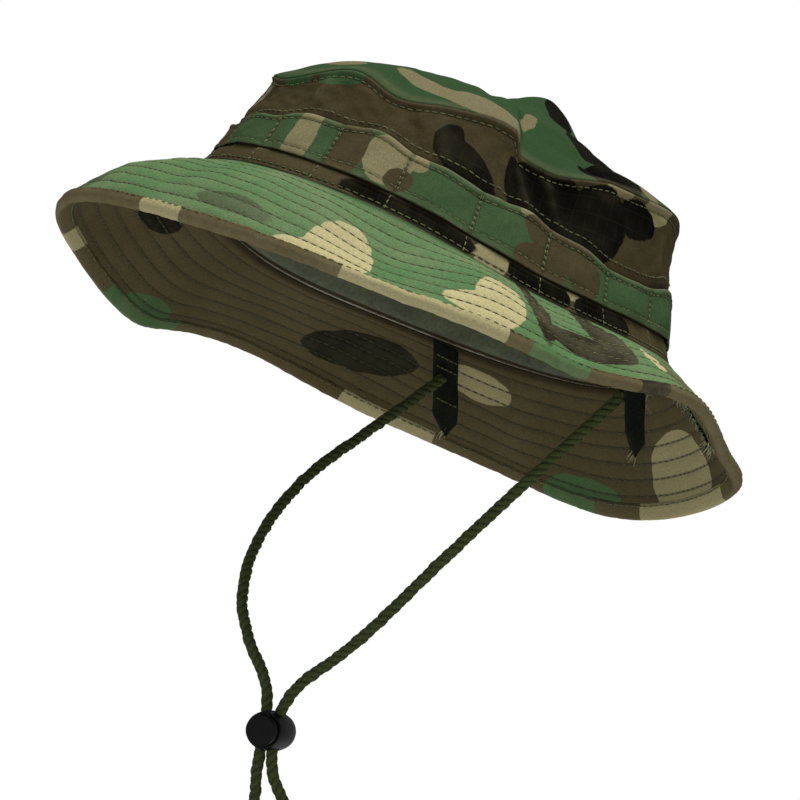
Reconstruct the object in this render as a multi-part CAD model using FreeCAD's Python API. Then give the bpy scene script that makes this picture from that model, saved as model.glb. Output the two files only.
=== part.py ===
"""Boonie hat: crown, loop band, wavy brim, sweatband and chin cord with a spring cord lock.

Millimetres, +Z up the crown, front of the hat at -Y, wearer's left at +X.
The origin is the centre of the head opening, in the plane where crown and brim are sewn together.
"""
import FreeCAD
import Part
import math
import os

Vector = FreeCAD.Vector

# Head opening: an oval, longer from front to back.
OPENING_LENGTH = 204.0
OPENING_WIDTH = 172.0
HALF_LENGTH = OPENING_LENGTH / 2
HALF_WIDTH = OPENING_WIDTH / 2

# Crown.
SEAM_HEIGHT = 50.0          # crown top seam above the opening
CROWN_LEAN = 16.0           # how far the wall has leant in at the seam
LEAN_POWER = 0.9            # the wall leans in almost evenly from the brim up
DOME_HEIGHT = 26.0          # crown top above its seam
DOME_POWER = 2.4            # a steep shoulder and a flat middle
FABRIC = 0.8                # thickness of one folded layer of cloth
LAYER_GAP = 0.1             # clearance between two curved layers

# Bands round the crown.
STRIP_LOW = 0.6
STRIP_HIGH = 8.0
BAND_LOW = 8.6
BAND_HIGH = 26.0
BAND_THICKNESS = 0.9
HEM = 3.0                   # stitch rows lie this far inside an edge
DIVIDER_COUNT = 19
FIRST_DIVIDER = 11.6        # degrees from the front
THREAD = 0.5                # thread width, and it stands this proud
GUIDE_ROW = 29.5            # the row of stitches just above the loop band
SWEATBAND_LOW = 0.8
SWEATBAND_HIGH = 31.0
SWEATBAND_INSET = 1.1
WALL_STEP = 8.0             # height between two sections of the wall's curve
REACH = 200.0               # longer than any radius of the hat
CLEAR_OF_ROWS = 1.0         # the back seam's rows stop this short of the rows they meet
STRIP_ROW = 2.0             # the base strip's stitches above its lower edge

# Size label, sewn to the sweatband's inner face.
LABEL_LOW = 6.0
LABEL_HIGH = 24.0
LABEL_WIDTH = 36.0
LABEL_THICKNESS = 0.4
LABEL_THREAD = 0.3          # how proud its stitches stand
LABEL_THREAD_OUTER = 1.5    # its frame of stitches lies between these two insets
LABEL_THREAD_INNER = 2.1

# Brim: its droop below the horizontal, and the waves that bend it from that.
BRIM_WIDTH = 54.0
BRIM_DROOP = 37.0
BRIM_SECTIONS = 60
BRIM_WAVES = (              # (degrees from the front, change of droop, half width in degrees)
    (25, 4, 35),
    (78, -5, 16),
    (107, -16, 15),
    (188, 15, 26),
    (268, -8, 18),
    (299, 15, 14),
)
TOP_CLOTH = 0.5
INTERLINING = 1.4
ROW_COUNT = 7
FIRST_ROW = 5.0
ROW_PITCH = 6.6
BINDING_WIDTH = 7.0
BINDING_THICKNESS = 0.8
BINDING_FOLD = 1.0          # the cloths end this far inside the binding's outer edge
BINDING_HEM = 1.0           # its stitches lie this far from its inner edge

WORN_LEAN = 25.0            # the hat is worn tipped back, so a free end hangs towards its back

# Cord tabs: cloth straps that hang inside the opening, one each side.
TAB_ANGLE = 125.0
TAB_TWIST = 20.0            # each tab's outer face is turned this far towards the front
TAB_WIDTH = 12.0
TAB_THICKNESS = 2.0
TAB_TOP = -2.8
TAB_SHOULDER = -29.0
TAB_TIP = -36.0
TAB_INSET = 3.2
TAB_STITCH_HEIGHTS = (-8.0, -12.0, -24.0)
TAB_STITCH_INSET = 1.0      # the stitches stop this far from the strap's sides

# Raw edge of the brim, inside the opening at the back left.
RAW_EDGE_LOW = -13.0
RAW_EDGE_HIGH = -3.0
RAW_EDGE_OUTER = -3.6       # its two faces, measured outwards from the opening
RAW_EDGE_INNER = -4.4
RAW_EDGE_ANGLES = (132, 145, 158)

# Chin cord and lock.
CORD_DIAMETER = 4.5
STRAND_PITCH = 4.6          # between the two strands inside the lock
LOCK_CENTRE = Vector(0.5, 9.2, -181.0)
LOCK_TILT = 12.7            # the lock's bore leans back from vertical
LOCK_YAW = 40.0             # and the button is turned towards the wearer's left
ARC_SHARE = 0.45            # of the shorter run, taken by each corner's arc

BARREL_FRONT = -7.0
BARREL_BACK = 10.4
BARREL_RADIUS = 7.75
BARREL_END_RADIUS = 6.9
BORE_RADIUS = 6.05
BORE_END = 9.0
CORD_HOLE_WIDTH = 10.4
CORD_HOLE_DEPTH = 5.8
PLUNGER_RADIUS = 6.0
PLUNGER_FRONT = -10.5
PLUNGER_BACK = 4.0
PLUNGER_ROUNDING = 0.8
PLUNGER_SLOT_WIDTH = 9.6
PLUNGER_SLOT = (-5.7, 2.5)  # open from front to back, with the button out
SPRING_RADIUS = 4.2
SPRING_WIRE = 0.5
SPRING_TURNS = 3.0
SPRING_SECTIONS = 16        # to each turn


def save(name, shape):
    """Write one named piece."""
    shape.exportStep("parts/" + name + ".step")
    print(name, "solids", len(shape.Solids), "volume", round(shape.Volume, 1), "valid", shape.isValid())


# ---------------------------------------------------------------- crown

def oval(height, outset):
    """The head opening's oval at a height, grown or shrunk by outset."""
    long_end = Vector(0, HALF_LENGTH + outset, height)
    short_end = Vector(HALF_WIDTH + outset, 0, height)
    ellipse = Part.Ellipse(long_end, short_end, Vector(0, 0, height))
    return Part.Wire([ellipse.toShape()])


def wall_inset(height):
    """How far the crown wall has leant in at a height."""
    share = max(height, 0.0) / SEAM_HEIGHT
    return CROWN_LEAN * share ** LEAN_POWER


def wall_levels(low, high):
    """Heights that describe the wall's curve between two edges."""
    steps = max(2, round((high - low) / WALL_STEP))
    return [low + (high - low) * i / steps for i in range(steps + 1)]


def wall_core(low, high, outset):
    """Everything inside the wall's surface, moved out by outset."""
    sections = [oval(z, outset - wall_inset(z)) for z in wall_levels(low, high)]
    return Part.makeLoft(sections, True, False)


def wall_ring(low, high, inner, outer):
    """A layer of cloth round the crown wall, between two distances from its outer face."""
    return wall_core(low, high, outer).cut(wall_core(low, high, inner))


def dome_core(shrink):
    """The crown top as a solid cap, shrunk all round."""
    top = DOME_HEIGHT - shrink
    sections = []
    for share in (0.0, 0.2, 0.45, 0.7, 0.9, 0.98):
        across = (1 - share) ** (1 / DOME_POWER)
        long_half = (HALF_LENGTH - CROWN_LEAN - shrink) * across
        short_half = (HALF_WIDTH - CROWN_LEAN - shrink) * across
        z = SEAM_HEIGHT + top * share
        ellipse = Part.Ellipse(Vector(0, long_half, z), Vector(short_half, 0, z), Vector(0, 0, z))
        sections.append(Part.Wire([ellipse.toShape()]))
    return Part.makeLoft(sections, True, False)


def crown_top_panel():
    return dome_core(0.0).cut(dome_core(FABRIC))


def crown_side_panel():
    return wall_ring(0.0, SEAM_HEIGHT, -FABRIC, 0.0)


def wall_thread(height, base):
    """A row of stitches round the crown, lying on a layer."""
    return wall_ring(height - THREAD / 2, height + THREAD / 2, base, base + THREAD)


def turned_box(angle, width, low, high):
    """An upright box from the axis outwards, centred on a direction."""
    box = Part.makeBox(width, REACH, high - low, Vector(-width / 2, -REACH, low))
    box.rotate(Vector(0, 0, 0), Vector(0, 0, 1), angle)
    return box


def crown_back_seam_thread():
    """Two rows down the seam that closes the side panel at the back."""
    low = GUIDE_ROW + CLEAR_OF_ROWS
    high = SEAM_HEIGHT - HEM - CLEAR_OF_ROWS
    row = wall_ring(low, high, LAYER_GAP, LAYER_GAP + THREAD)
    rows = []
    for side in (-1, 1):
        box = turned_box(180, THREAD, 0, SEAM_HEIGHT)
        box.translate(Vector(side * HEM, 0, 0))
        rows.append(row.common(box))
    return Part.makeCompound(rows)


# ---------------------------------------------------------------- bands

def band_outer():
    return LAYER_GAP + BAND_THICKNESS


def loop_band():
    return wall_ring(BAND_LOW, BAND_HIGH, LAYER_GAP, band_outer())


def base_strip():
    return wall_ring(STRIP_LOW, STRIP_HIGH, LAYER_GAP, band_outer() + LAYER_GAP)


def loop_divider_threads():
    """The upright bar tacks that close the band into loops."""
    base = band_outer() + LAYER_GAP
    layer = wall_ring(BAND_LOW + HEM + THREAD, BAND_HIGH - HEM - THREAD, base, base + THREAD)
    bars = []
    for i in range(DIVIDER_COUNT):
        angle = FIRST_DIVIDER + 360 * i / DIVIDER_COUNT
        bars.append(layer.common(turned_box(angle, 2 * THREAD, 0, SEAM_HEIGHT)))
    return Part.makeCompound(bars)


def sweatband():
    return wall_ring(SWEATBAND_LOW, SWEATBAND_HIGH, -SWEATBAND_INSET - FABRIC, -SWEATBAND_INSET)


def sweatband_thread():
    inner = -SWEATBAND_INSET - FABRIC - LAYER_GAP
    height = SWEATBAND_HIGH - HEM
    return wall_ring(height - THREAD / 2, height + THREAD / 2, inner - THREAD, inner)


def label_slice(inset, thickness, border):
    """A patch on the sweatband's inner face at the back of the head."""
    outer = -SWEATBAND_INSET - FABRIC - THREAD - LAYER_GAP - inset
    layer = wall_ring(LABEL_LOW + border, LABEL_HIGH - border, outer - thickness, outer)
    return layer.common(turned_box(180, LABEL_WIDTH - 2 * border, 0, SEAM_HEIGHT))


def size_label():
    return label_slice(0.0, LABEL_THICKNESS, 0.0)


def size_label_thread():
    """A frame of stitches near the label's edge: a patch with its middle taken out."""
    patch = label_slice(LABEL_THICKNESS + LAYER_GAP, LABEL_THREAD, LABEL_THREAD_OUTER)
    middle_depth = 2 * (LABEL_THICKNESS + LAYER_GAP + LABEL_THREAD)
    return patch.cut(label_slice(0.0, middle_depth, LABEL_THREAD_INNER))


# ---------------------------------------------------------------- brim

def brim_angles():
    return [2 * math.pi * i / BRIM_SECTIONS for i in range(BRIM_SECTIONS)]


def droop(angle):
    """The brim's slope below the horizontal, in radians, with its waves."""
    total = BRIM_DROOP
    for centre, change, width in BRIM_WAVES:
        apart = (math.degrees(angle) - centre + 180) % 360 - 180
        total += change * math.exp(-(apart / width) ** 2)
    return math.radians(total)


def brim_point(angle, along, above):
    """A point at a distance along the brim's slope and above its upper face."""
    x = HALF_WIDTH * math.sin(angle)
    y = -HALF_LENGTH * math.cos(angle)
    out = Vector(math.sin(angle) / HALF_WIDTH, -math.cos(angle) / HALF_LENGTH, 0).normalize()
    slope = droop(angle)
    reach = along * math.cos(slope) + above * math.sin(slope)
    drop = along * math.sin(slope) - above * math.cos(slope)
    return Vector(x, y, 0) + out * reach - Vector(0, 0, drop)


def brim_loft(section):
    """A ring that follows the brim; section lists its corners as (along, above)."""
    wires = []
    for angle in brim_angles():
        corners = [brim_point(angle, along, above) for along, above in section]
        wires.append(Part.makePolygon(corners + corners[:1]))
    return Part.makeLoft(wires, True, False, True)


def brim_layer(low, high, inner=0.0, outer=BRIM_WIDTH - BINDING_FOLD):
    """A layer between two heights above the upper face, and between two distances along the slope."""
    return brim_loft([(inner, high), (outer, high), (outer, low), (inner, low)])


def brim_top_panel():
    return brim_layer(-TOP_CLOTH, 0.0)


def brim_interlining():
    return brim_layer(-TOP_CLOTH - INTERLINING, -TOP_CLOTH)


def brim_floor():
    """Height of the brim's under face."""
    return -2 * TOP_CLOTH - INTERLINING


def brim_under_panel():
    return brim_layer(brim_floor(), -TOP_CLOTH - INTERLINING)


def brim_rows(low, high):
    """Concentric rows of stitches, each its own ring."""
    rows = []
    for i in range(ROW_COUNT):
        along = FIRST_ROW + i * ROW_PITCH
        rows.append(brim_layer(low, high, along, along + THREAD))
    return Part.makeCompound(rows)


def brim_binding():
    """A tape folded over the brim's edge."""
    inner = BRIM_WIDTH - BINDING_WIDTH
    cloth_edge = BRIM_WIDTH - BINDING_FOLD + LAYER_GAP
    outer = BRIM_WIDTH
    top = BINDING_THICKNESS
    bottom = brim_floor() - BINDING_THICKNESS
    section = [
        (inner, top), (outer, top), (outer, bottom), (inner, bottom),
        (inner, brim_floor()), (cloth_edge, brim_floor()), (cloth_edge, 0.0), (inner, 0.0),
    ]
    return brim_loft(section)


def brim_binding_thread():
    along = BRIM_WIDTH - BINDING_WIDTH + BINDING_HEM
    roof = BINDING_THICKNESS + LAYER_GAP
    upper = brim_layer(roof, roof + THREAD, along, along + THREAD)
    floor = brim_floor() - BINDING_THICKNESS - LAYER_GAP
    lower = brim_layer(floor - THREAD, floor, along, along + THREAD)
    return Part.makeCompound([upper, lower])


# ---------------------------------------------------------------- tabs and frayed edge

def opening_frame(angle_degrees):
    """Point, outward direction and direction towards the back, on the opening's oval."""
    angle = math.radians(angle_degrees)
    point = Vector(HALF_WIDTH * math.sin(angle), -HALF_LENGTH * math.cos(angle), 0)
    out = Vector(math.sin(angle) / HALF_WIDTH, -math.cos(angle) / HALF_LENGTH, 0).normalize()
    along = Vector(0, 0, 1).cross(out)
    if along.y < 0:
        along = along * -1
    return point, out, along


def tab_frame(side):
    """A tab's top middle on its outer face, its outward direction, and its direction to the back."""
    point, out, along = opening_frame(side * TAB_ANGLE)
    turn = FreeCAD.Rotation(Vector(0, 0, 1), -side * TAB_TWIST)
    return point - out * TAB_INSET, turn.multVec(out), turn.multVec(along)


def tab_hang(height):
    """From a tab's top middle to a height below it: the tab hangs straight down while worn."""
    lean = math.tan(math.radians(WORN_LEAN))
    return Vector(0, lean * (TAB_TOP - height), height)


def cord_tab(side):
    """A folded cloth strap with a pointed end, hanging inside the opening."""
    face, out, along = tab_frame(side)
    half = along * (TAB_WIDTH / 2)
    corners = [
        face - half + tab_hang(TAB_TOP),
        face + half + tab_hang(TAB_TOP),
        face + half + tab_hang(TAB_SHOULDER),
        face + tab_hang(TAB_TIP),
        face - half + tab_hang(TAB_SHOULDER),
    ]
    outline = Part.Face(Part.makePolygon(corners + corners[:1]))
    return outline.extrude(out * -TAB_THICKNESS)


def tab_stitches():
    """Bars of stitches across each tab's inner face, where the cord is caught."""
    bars = []
    for side in (-1, 1):
        face, out, along = tab_frame(side)
        inner = face - out * (TAB_THICKNESS + LAYER_GAP)
        across = along * (TAB_WIDTH / 2 - TAB_STITCH_INSET)
        for height in TAB_STITCH_HEIGHTS:
            low = inner + tab_hang(height)
            high = inner + tab_hang(height + THREAD)
            corners = [low - across, low + across, high + across, high - across]
            bar = Part.Face(Part.makePolygon(corners + corners[:1]))
            bars.append(bar.extrude(out * -THREAD))
    return Part.makeCompound(bars)


def seam_allowance_fray():
    """The raw inner edge of the brim that shows below the opening at the back left."""
    low = RAW_EDGE_LOW
    rise = Vector(0, 0, RAW_EDGE_HIGH - low)
    outer = Part.Face(oval(low, RAW_EDGE_OUTER)).extrude(rise)
    inner = Part.Face(oval(low, RAW_EDGE_INNER)).extrude(rise)
    corners = [Vector(0, 0, low)]
    for degrees in RAW_EDGE_ANGLES:
        angle = math.radians(degrees)
        corners.append(Vector(OPENING_WIDTH * math.sin(angle), -OPENING_LENGTH * math.cos(angle), low))
    wedge = Part.Face(Part.makePolygon(corners + corners[:1])).extrude(rise)
    return outer.cut(inner).common(wedge)


# ---------------------------------------------------------------- chin cord

def lock_placement():
    tilt = FreeCAD.Rotation(Vector(1, 0, 0), LOCK_TILT)
    yaw = FreeCAD.Rotation(Vector(0, 0, 1), LOCK_YAW)
    return FreeCAD.Placement(LOCK_CENTRE, tilt.multiply(yaw))


def lock_point(across, along_bore):
    """A point in the lock: across its two strands, and up its bore."""
    return lock_placement().multVec(Vector(across, 0, along_bore))


def tail_point(across, down):
    """A point of the tail loop, which hangs straight down from the lock while the hat is worn."""
    lean = math.radians(WORN_LEAN)
    hang = Vector(0, math.sin(lean), -math.cos(lean))
    strands = lock_placement().Rotation.multVec(Vector(1, 0, 0))
    sideways = (strands - hang * strands.dot(hang)).normalize()
    return LOCK_CENTRE + sideways * across + hang * down


def cord_route():
    """The cord from the left tab, through the lock, round the tail loop and up to the right tab."""
    half = STRAND_PITCH / 2
    return [
        Vector(63.8, 59.5, -16.0),
        Vector(57.6, 46.2, -46.5),
        Vector(37.5, 31.0, -95.0),
        Vector(16.5, 19.0, -143.0),
        lock_point(half, 15),
        lock_point(half, -14),
        tail_point(6.2, 26.5),
        tail_point(11.5, 39.5),
        tail_point(15.7, 53.0),
        tail_point(15.9, 66.0),
        tail_point(6.6, 75.4),
        tail_point(-6.6, 75.4),
        tail_point(-15.9, 66.0),
        tail_point(-15.7, 53.0),
        tail_point(-10.8, 39.5),
        tail_point(-5.5, 26.5),
        lock_point(-half, -14),
        lock_point(-half, 15),
        Vector(-16.0, -4.0, -153.0),
        Vector(-31.0, -8.5, -135.0),
        Vector(-46.0, -2.0, -108.0),
        Vector(-58.5, 15.0, -77.0),
        Vector(-61.5, 39.0, -45.0),
        Vector(-63.8, 59.5, -16.0),
    ]


def rounded_path(points):
    """Straight runs joined by tangent arcs, each as large as its two runs allow."""
    edges = []
    start = points[0]
    radii = []
    for before, corner, after in zip(points, points[1:], points[2:]):
        back = (before - corner).normalize()
        ahead = (after - corner).normalize()
        shorter = min(before.distanceToPoint(corner), after.distanceToPoint(corner))
        turn = math.pi - back.getAngle(ahead)
        cut = ARC_SHARE * shorter
        radius = cut / math.tan(turn / 2)
        radii.append(round(radius, 1))
        first = corner + back * cut
        last = corner + ahead * cut
        toward = (back + ahead).normalize()
        middle = corner + toward * (radius / math.cos(turn / 2) - radius)
        edges.append(Part.LineSegment(start, first).toShape())
        edges.append(Part.Arc(first, middle, last).toShape())
        start = last
    edges.append(Part.LineSegment(start, points[-1]).toShape())
    print("cord radii", radii)
    return Part.Wire(edges)


def chin_cord():
    path = rounded_path(cord_route())
    start = cord_route()[0]
    direction = cord_route()[1] - start
    section = Part.Wire([Part.makeCircle(CORD_DIAMETER / 2, start, direction)])
    tube = path.makePipeShell([section], True, False)
    expected = math.pi * CORD_DIAMETER ** 2 / 4 * path.Length
    print("cord length", round(path.Length, 1), "volume share", round(tube.Volume / expected, 4))
    return tube


# ---------------------------------------------------------------- cord lock

def bore_cylinder(radius, front, back):
    """A cylinder along the lock's button axis, which is its own Y."""
    return Part.makeCylinder(radius, back - front, Vector(0, front, 0), Vector(0, 1, 0))


def cord_lock_barrel():
    """A barrel with a bulged side, a blind bore for the plunger and a cross hole for two strands."""
    middle = (BARREL_FRONT + BARREL_BACK) / 2
    side = Part.Arc(
        Vector(BARREL_END_RADIUS, BARREL_FRONT, 0),
        Vector(BARREL_RADIUS, middle, 0),
        Vector(BARREL_END_RADIUS, BARREL_BACK, 0),
    ).toShape()
    closing = Part.makePolygon([
        Vector(BARREL_END_RADIUS, BARREL_BACK, 0),
        Vector(0, BARREL_BACK, 0),
        Vector(0, BARREL_FRONT, 0),
        Vector(BARREL_END_RADIUS, BARREL_FRONT, 0),
    ])
    profile = Part.Face(Part.Wire([side] + closing.Edges))
    body = profile.revolve(Vector(0, 0, 0), Vector(0, 1, 0), 360)
    body = body.cut(bore_cylinder(BORE_RADIUS, BARREL_FRONT - 1, BORE_END))
    return body.cut(cord_hole())


def cord_hole():
    """An oblong hole that two strands pass through side by side."""
    end = CORD_HOLE_DEPTH / 2
    offset = CORD_HOLE_WIDTH / 2 - end
    height = 2 * BARREL_RADIUS
    low = Vector(0, 0, -BARREL_RADIUS)
    hole = Part.makeBox(2 * offset, 2 * end, height, Vector(-offset, -end, low.z))
    for side in (-offset, offset):
        hole = hole.fuse(Part.makeCylinder(end, height, low + Vector(side, 0, 0)))
    return hole.removeSplitter()


def cord_lock_plunger():
    """The push button: a round shaft with a cross slot longer than its travel."""
    shaft = bore_cylinder(PLUNGER_RADIUS, PLUNGER_FRONT, PLUNGER_BACK)
    front_edge = [e for e in shaft.Edges if abs(e.BoundBox.YMax - PLUNGER_FRONT) < 0.01]
    shaft = shaft.makeFillet(PLUNGER_ROUNDING, front_edge)
    front, back = PLUNGER_SLOT
    corner = Vector(-PLUNGER_SLOT_WIDTH / 2, front, -PLUNGER_RADIUS)
    slot = Part.makeBox(PLUNGER_SLOT_WIDTH, back - front, 2 * PLUNGER_RADIUS, corner)
    return shaft.cut(slot)


def cord_lock_spring():
    """A short coil spring between the plunger's back and the bore's end."""
    front = PLUNGER_BACK + SPRING_WIRE / 2 + LAYER_GAP
    back = BORE_END - SPRING_WIRE / 2 - LAYER_GAP
    rise = (back - front) / (2 * math.pi * SPRING_TURNS)
    steps = round(SPRING_TURNS * SPRING_SECTIONS)
    sections = []
    for i in range(steps + 1):
        turn = 2 * math.pi * i / SPRING_SECTIONS
        centre = Vector(SPRING_RADIUS * math.cos(turn), front + rise * turn, SPRING_RADIUS * math.sin(turn))
        heading = Vector(-SPRING_RADIUS * math.sin(turn), rise, SPRING_RADIUS * math.cos(turn))
        sections.append(Part.Wire([Part.makeCircle(SPRING_WIRE / 2, centre, heading)]))
    return Part.makeLoft(sections, True, True)


def placed(shape):
    """Move a lock piece from its own axes to its place on the cord."""
    moved = shape.copy()
    moved.transformShape(lock_placement().toMatrix())
    return moved


# ---------------------------------------------------------------- all pieces

def main():
    os.makedirs("parts", exist_ok=True)
    outer = band_outer()
    pieces = {
        "crown_top_panel": crown_top_panel(),
        "crown_side_panel": crown_side_panel(),
        "crown_top_seam_thread": wall_thread(SEAM_HEIGHT - HEM, LAYER_GAP),
        "crown_guide_thread": wall_thread(GUIDE_ROW, LAYER_GAP),
        "crown_back_seam_thread": crown_back_seam_thread(),
        "loop_band": loop_band(),
        "loop_band_upper_thread": wall_thread(BAND_HIGH - HEM, outer + LAYER_GAP),
        "loop_band_lower_thread": wall_thread(BAND_LOW + HEM, outer + LAYER_GAP),
        "loop_divider_threads": loop_divider_threads(),
        "base_strip": base_strip(),
        "base_strip_thread": wall_thread(STRIP_LOW + STRIP_ROW, outer + 2 * LAYER_GAP),
        "sweatband": sweatband(),
        "sweatband_thread": sweatband_thread(),
        "size_label": size_label(),
        "size_label_thread": size_label_thread(),
        "brim_top_panel": brim_top_panel(),
        "brim_interlining": brim_interlining(),
        "brim_under_panel": brim_under_panel(),
        "brim_row_top_threads": brim_rows(LAYER_GAP, LAYER_GAP + THREAD),
        "brim_row_under_threads": brim_rows(brim_floor() - LAYER_GAP - THREAD, brim_floor() - LAYER_GAP),
        "brim_binding": brim_binding(),
        "brim_binding_thread": brim_binding_thread(),
        "cord_tab_left": cord_tab(1),
        "cord_tab_right": cord_tab(-1),
        "cord_tab_stitches": tab_stitches(),
        "seam_allowance_fray": seam_allowance_fray(),
        "chin_cord": chin_cord(),
        "cord_lock_barrel": placed(cord_lock_barrel()),
        "cord_lock_plunger": placed(cord_lock_plunger()),
        "cord_lock_spring": placed(cord_lock_spring()),
    }
    for name, shape in pieces.items():
        save(name, shape)


main()
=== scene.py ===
"""The looks of a boonie hat in woodland cloth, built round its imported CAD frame.

Shapes are worked out in millimetres, in the CAD frame: +Z up the crown, front at -Y, wearer's left
at +X. Directions round the hat are degrees from the front towards the wearer's left.
"""
import bmesh
import bpy
import math
import numpy as np
from mathutils import Matrix, Vector


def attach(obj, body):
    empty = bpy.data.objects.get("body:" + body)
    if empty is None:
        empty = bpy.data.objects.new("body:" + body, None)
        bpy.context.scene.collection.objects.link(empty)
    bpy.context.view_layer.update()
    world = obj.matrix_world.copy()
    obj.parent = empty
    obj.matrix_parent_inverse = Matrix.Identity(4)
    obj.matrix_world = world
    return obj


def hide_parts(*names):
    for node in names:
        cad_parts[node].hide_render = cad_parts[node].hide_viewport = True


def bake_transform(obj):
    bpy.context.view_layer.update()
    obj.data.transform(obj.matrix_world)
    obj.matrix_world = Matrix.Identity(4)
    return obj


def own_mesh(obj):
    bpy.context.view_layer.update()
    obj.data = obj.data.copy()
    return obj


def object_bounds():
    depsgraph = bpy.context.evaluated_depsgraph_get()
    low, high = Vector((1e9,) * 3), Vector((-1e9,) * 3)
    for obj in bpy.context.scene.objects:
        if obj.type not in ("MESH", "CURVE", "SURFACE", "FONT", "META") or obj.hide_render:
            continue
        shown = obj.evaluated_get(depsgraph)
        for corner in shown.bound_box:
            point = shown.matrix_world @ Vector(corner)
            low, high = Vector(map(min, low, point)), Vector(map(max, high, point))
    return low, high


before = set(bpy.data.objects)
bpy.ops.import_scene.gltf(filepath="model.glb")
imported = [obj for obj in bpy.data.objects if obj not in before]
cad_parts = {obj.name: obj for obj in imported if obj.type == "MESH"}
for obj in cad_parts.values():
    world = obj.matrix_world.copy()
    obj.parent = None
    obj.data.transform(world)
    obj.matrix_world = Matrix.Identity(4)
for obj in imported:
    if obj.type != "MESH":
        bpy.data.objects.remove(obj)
cad_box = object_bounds()

MM = 0.001

# ---------------------------------------------------------------- sizes, as in the CAD model

HALF_LENGTH = 102.0
HALF_WIDTH = 86.0
SEAM_HEIGHT = 50.0
BRIM_WIDTH = 54.0
BRIM_DROOP = 37.0
BRIM_WAVES = ((25, 4, 35), (78, -5, 16), (107, -16, 15), (188, 15, 26), (268, -8, 18), (299, 15, 14))
BRIM_THICKNESS = 2.4
ROW_COUNT = 7
FIRST_ROW = 5.0
ROW_PITCH = 6.6
BINDING_WIDTH = 7.0
BINDING_FRONT = 3.6         # how much of it shows on the upper face
BINDING_FOLD = 1.4          # it folds about a line this far inside the edge
BINDING_OFF = 0.95          # and stands this far off the brim's cloths
BAND_LOW = 8.6
BAND_HIGH = 26.0
STRIP_LOW = 0.6
STRIP_HIGH = 8.0
HEM = 3.0
GUIDE_GAP = 3.6             # the guide row's distance above the loop band
DIVIDER_COUNT = 19
FIRST_DIVIDER = 11.6
SWEATBAND_HIGH = 31.0
SWEATBAND_INSET = 1.1
FABRIC = 0.8
DEGREE = 1.64               # millimetres round the crown to each degree
LOWER_ROW = 0.155           # the loop band's rows of stitches, as shares of its height
UPPER_ROW = 0.855
STRIP_ROW = 0.24            # the base strip's row, as a share of its height
PIPING = 49.4               # the swollen edge at the crown's upper seam, and the groove below it
GROOVE = 46.9
SIDE_TUCK = 0.7             # how far the crown's side goes down past the seam with the brim
SEAM_TUCK = 1.0             # how far the brim goes in under the crown

# Shape that only the cloth has: (degrees, change, half width in degrees).
JUNCTION_WAVES = ((0, 2.5, 32), (85, -5.5, 28), (150, 5.5, 26), (285, -4, 30))
SEAM_WAVES = ((0, -7, 17), (27, 2.2, 9), (39, -5, 11), (66, 2, 8), (138, 9, 28), (200, 2, 20), (260, -3, 30))
LEAN_WAVES = ((0, -6, 40), (140, -2.5, 36))
BAND_EDGE_WAVES = (
    (8, -3, 7), (40, 3, 8), (82, 3, 8), (115, -4, 16), (180, 2, 14),
    (240, -2, 20), (300, 2, 16), (330, -5, 16), (352, -6, 12),
)
ARCH_WAVES = ((-15, 4, 28), (25, 3, 10), (54, -5, 9), (74, 3, 7), (165, 3, 20), (215, -3, 14), (250, 3, 12))
WALL_LEAN = 18.5
LEAN_POWER = 0.65
DENT_DEPTH = 7.5
DENT_START = 71.0
DENT_END = 104.0
DOME_HEIGHT = 22.0
DOME_POWER = 2.6
DOME_BUMPS = (              # (x, y, rise, radius)
    (0, -74, 6, 18), (5, 16, 16, 17), (58, 12, -10, 15), (10, -18, 4, 22), (-40, 30, -6, 26),
)

COLUMNS = 540               # mesh columns round the hat
THETA = np.arange(COLUMNS) * 360.0 / COLUMNS


def smooth(x):
    x = np.clip(x, 0.0, 1.0)
    return x * x * (3 - 2 * x)


def hump(x, centre, width):
    """A smooth bump, 1 at its centre."""
    return np.exp(-((x - centre) / width) ** 2)


def apart(theta, centre):
    """Degrees from a direction, from -180 to 180."""
    return (theta - centre + 180) % 360 - 180


def waves(theta, terms):
    """A sum of bumps round the hat."""
    total = np.zeros_like(np.asarray(theta, float))
    for centre, change, width in terms:
        total = total + change * hump(apart(theta, centre), 0, width)
    return total


def folds(u, v, size, seed):
    """Smooth uneven relief, about -1 to 1, with folds about this size."""
    draw = np.random.default_rng(seed)
    total = np.zeros(np.broadcast(u, v).shape)
    for _ in range(9):
        heading = draw.uniform(0, math.pi)
        wave = size * draw.uniform(0.7, 1.9)
        phase = draw.uniform(0, 2 * math.pi)
        total += np.sin((u * math.cos(heading) + v * math.sin(heading)) * 2 * math.pi / wave + phase)
    return total / 3.0


def crease(u, v, centre, half_length, width, turn):
    """One straight fold: 1 on its line, fading to the sides and the ends."""
    c, s = math.cos(math.radians(turn)), math.sin(math.radians(turn))
    along = (u - centre[0]) * c + (v - centre[1]) * s
    across = -(u - centre[0]) * s + (v - centre[1]) * c
    return hump(across, 0, width) * np.exp(-(along / half_length) ** 4)


# ---------------------------------------------------------------- surfaces

def oval(theta, outset=0.0):
    t = np.radians(theta)
    return (HALF_WIDTH + outset) * np.sin(t), -(HALF_LENGTH + outset) * np.cos(t)


def outward(theta):
    t = np.radians(theta)
    x, y = np.sin(t) / HALF_WIDTH, -np.cos(t) / HALF_LENGTH
    length = np.hypot(x, y)
    return x / length, y / length


def junction(theta):
    """Height of the seam between crown and brim."""
    return waves(theta, JUNCTION_WAVES)


def dent(theta):
    """0 to 1: the hollow pushed into the crown's upper edge on the wearer's left."""
    side = apart(theta, 0)
    return smooth((side - DENT_START) / 4) * (1 - smooth((side - 82) / (DENT_END - 82)))


def seam_height(theta):
    return SEAM_HEIGHT - 0.5 + waves(theta, SEAM_WAVES) - DENT_DEPTH * dent(theta)


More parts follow.
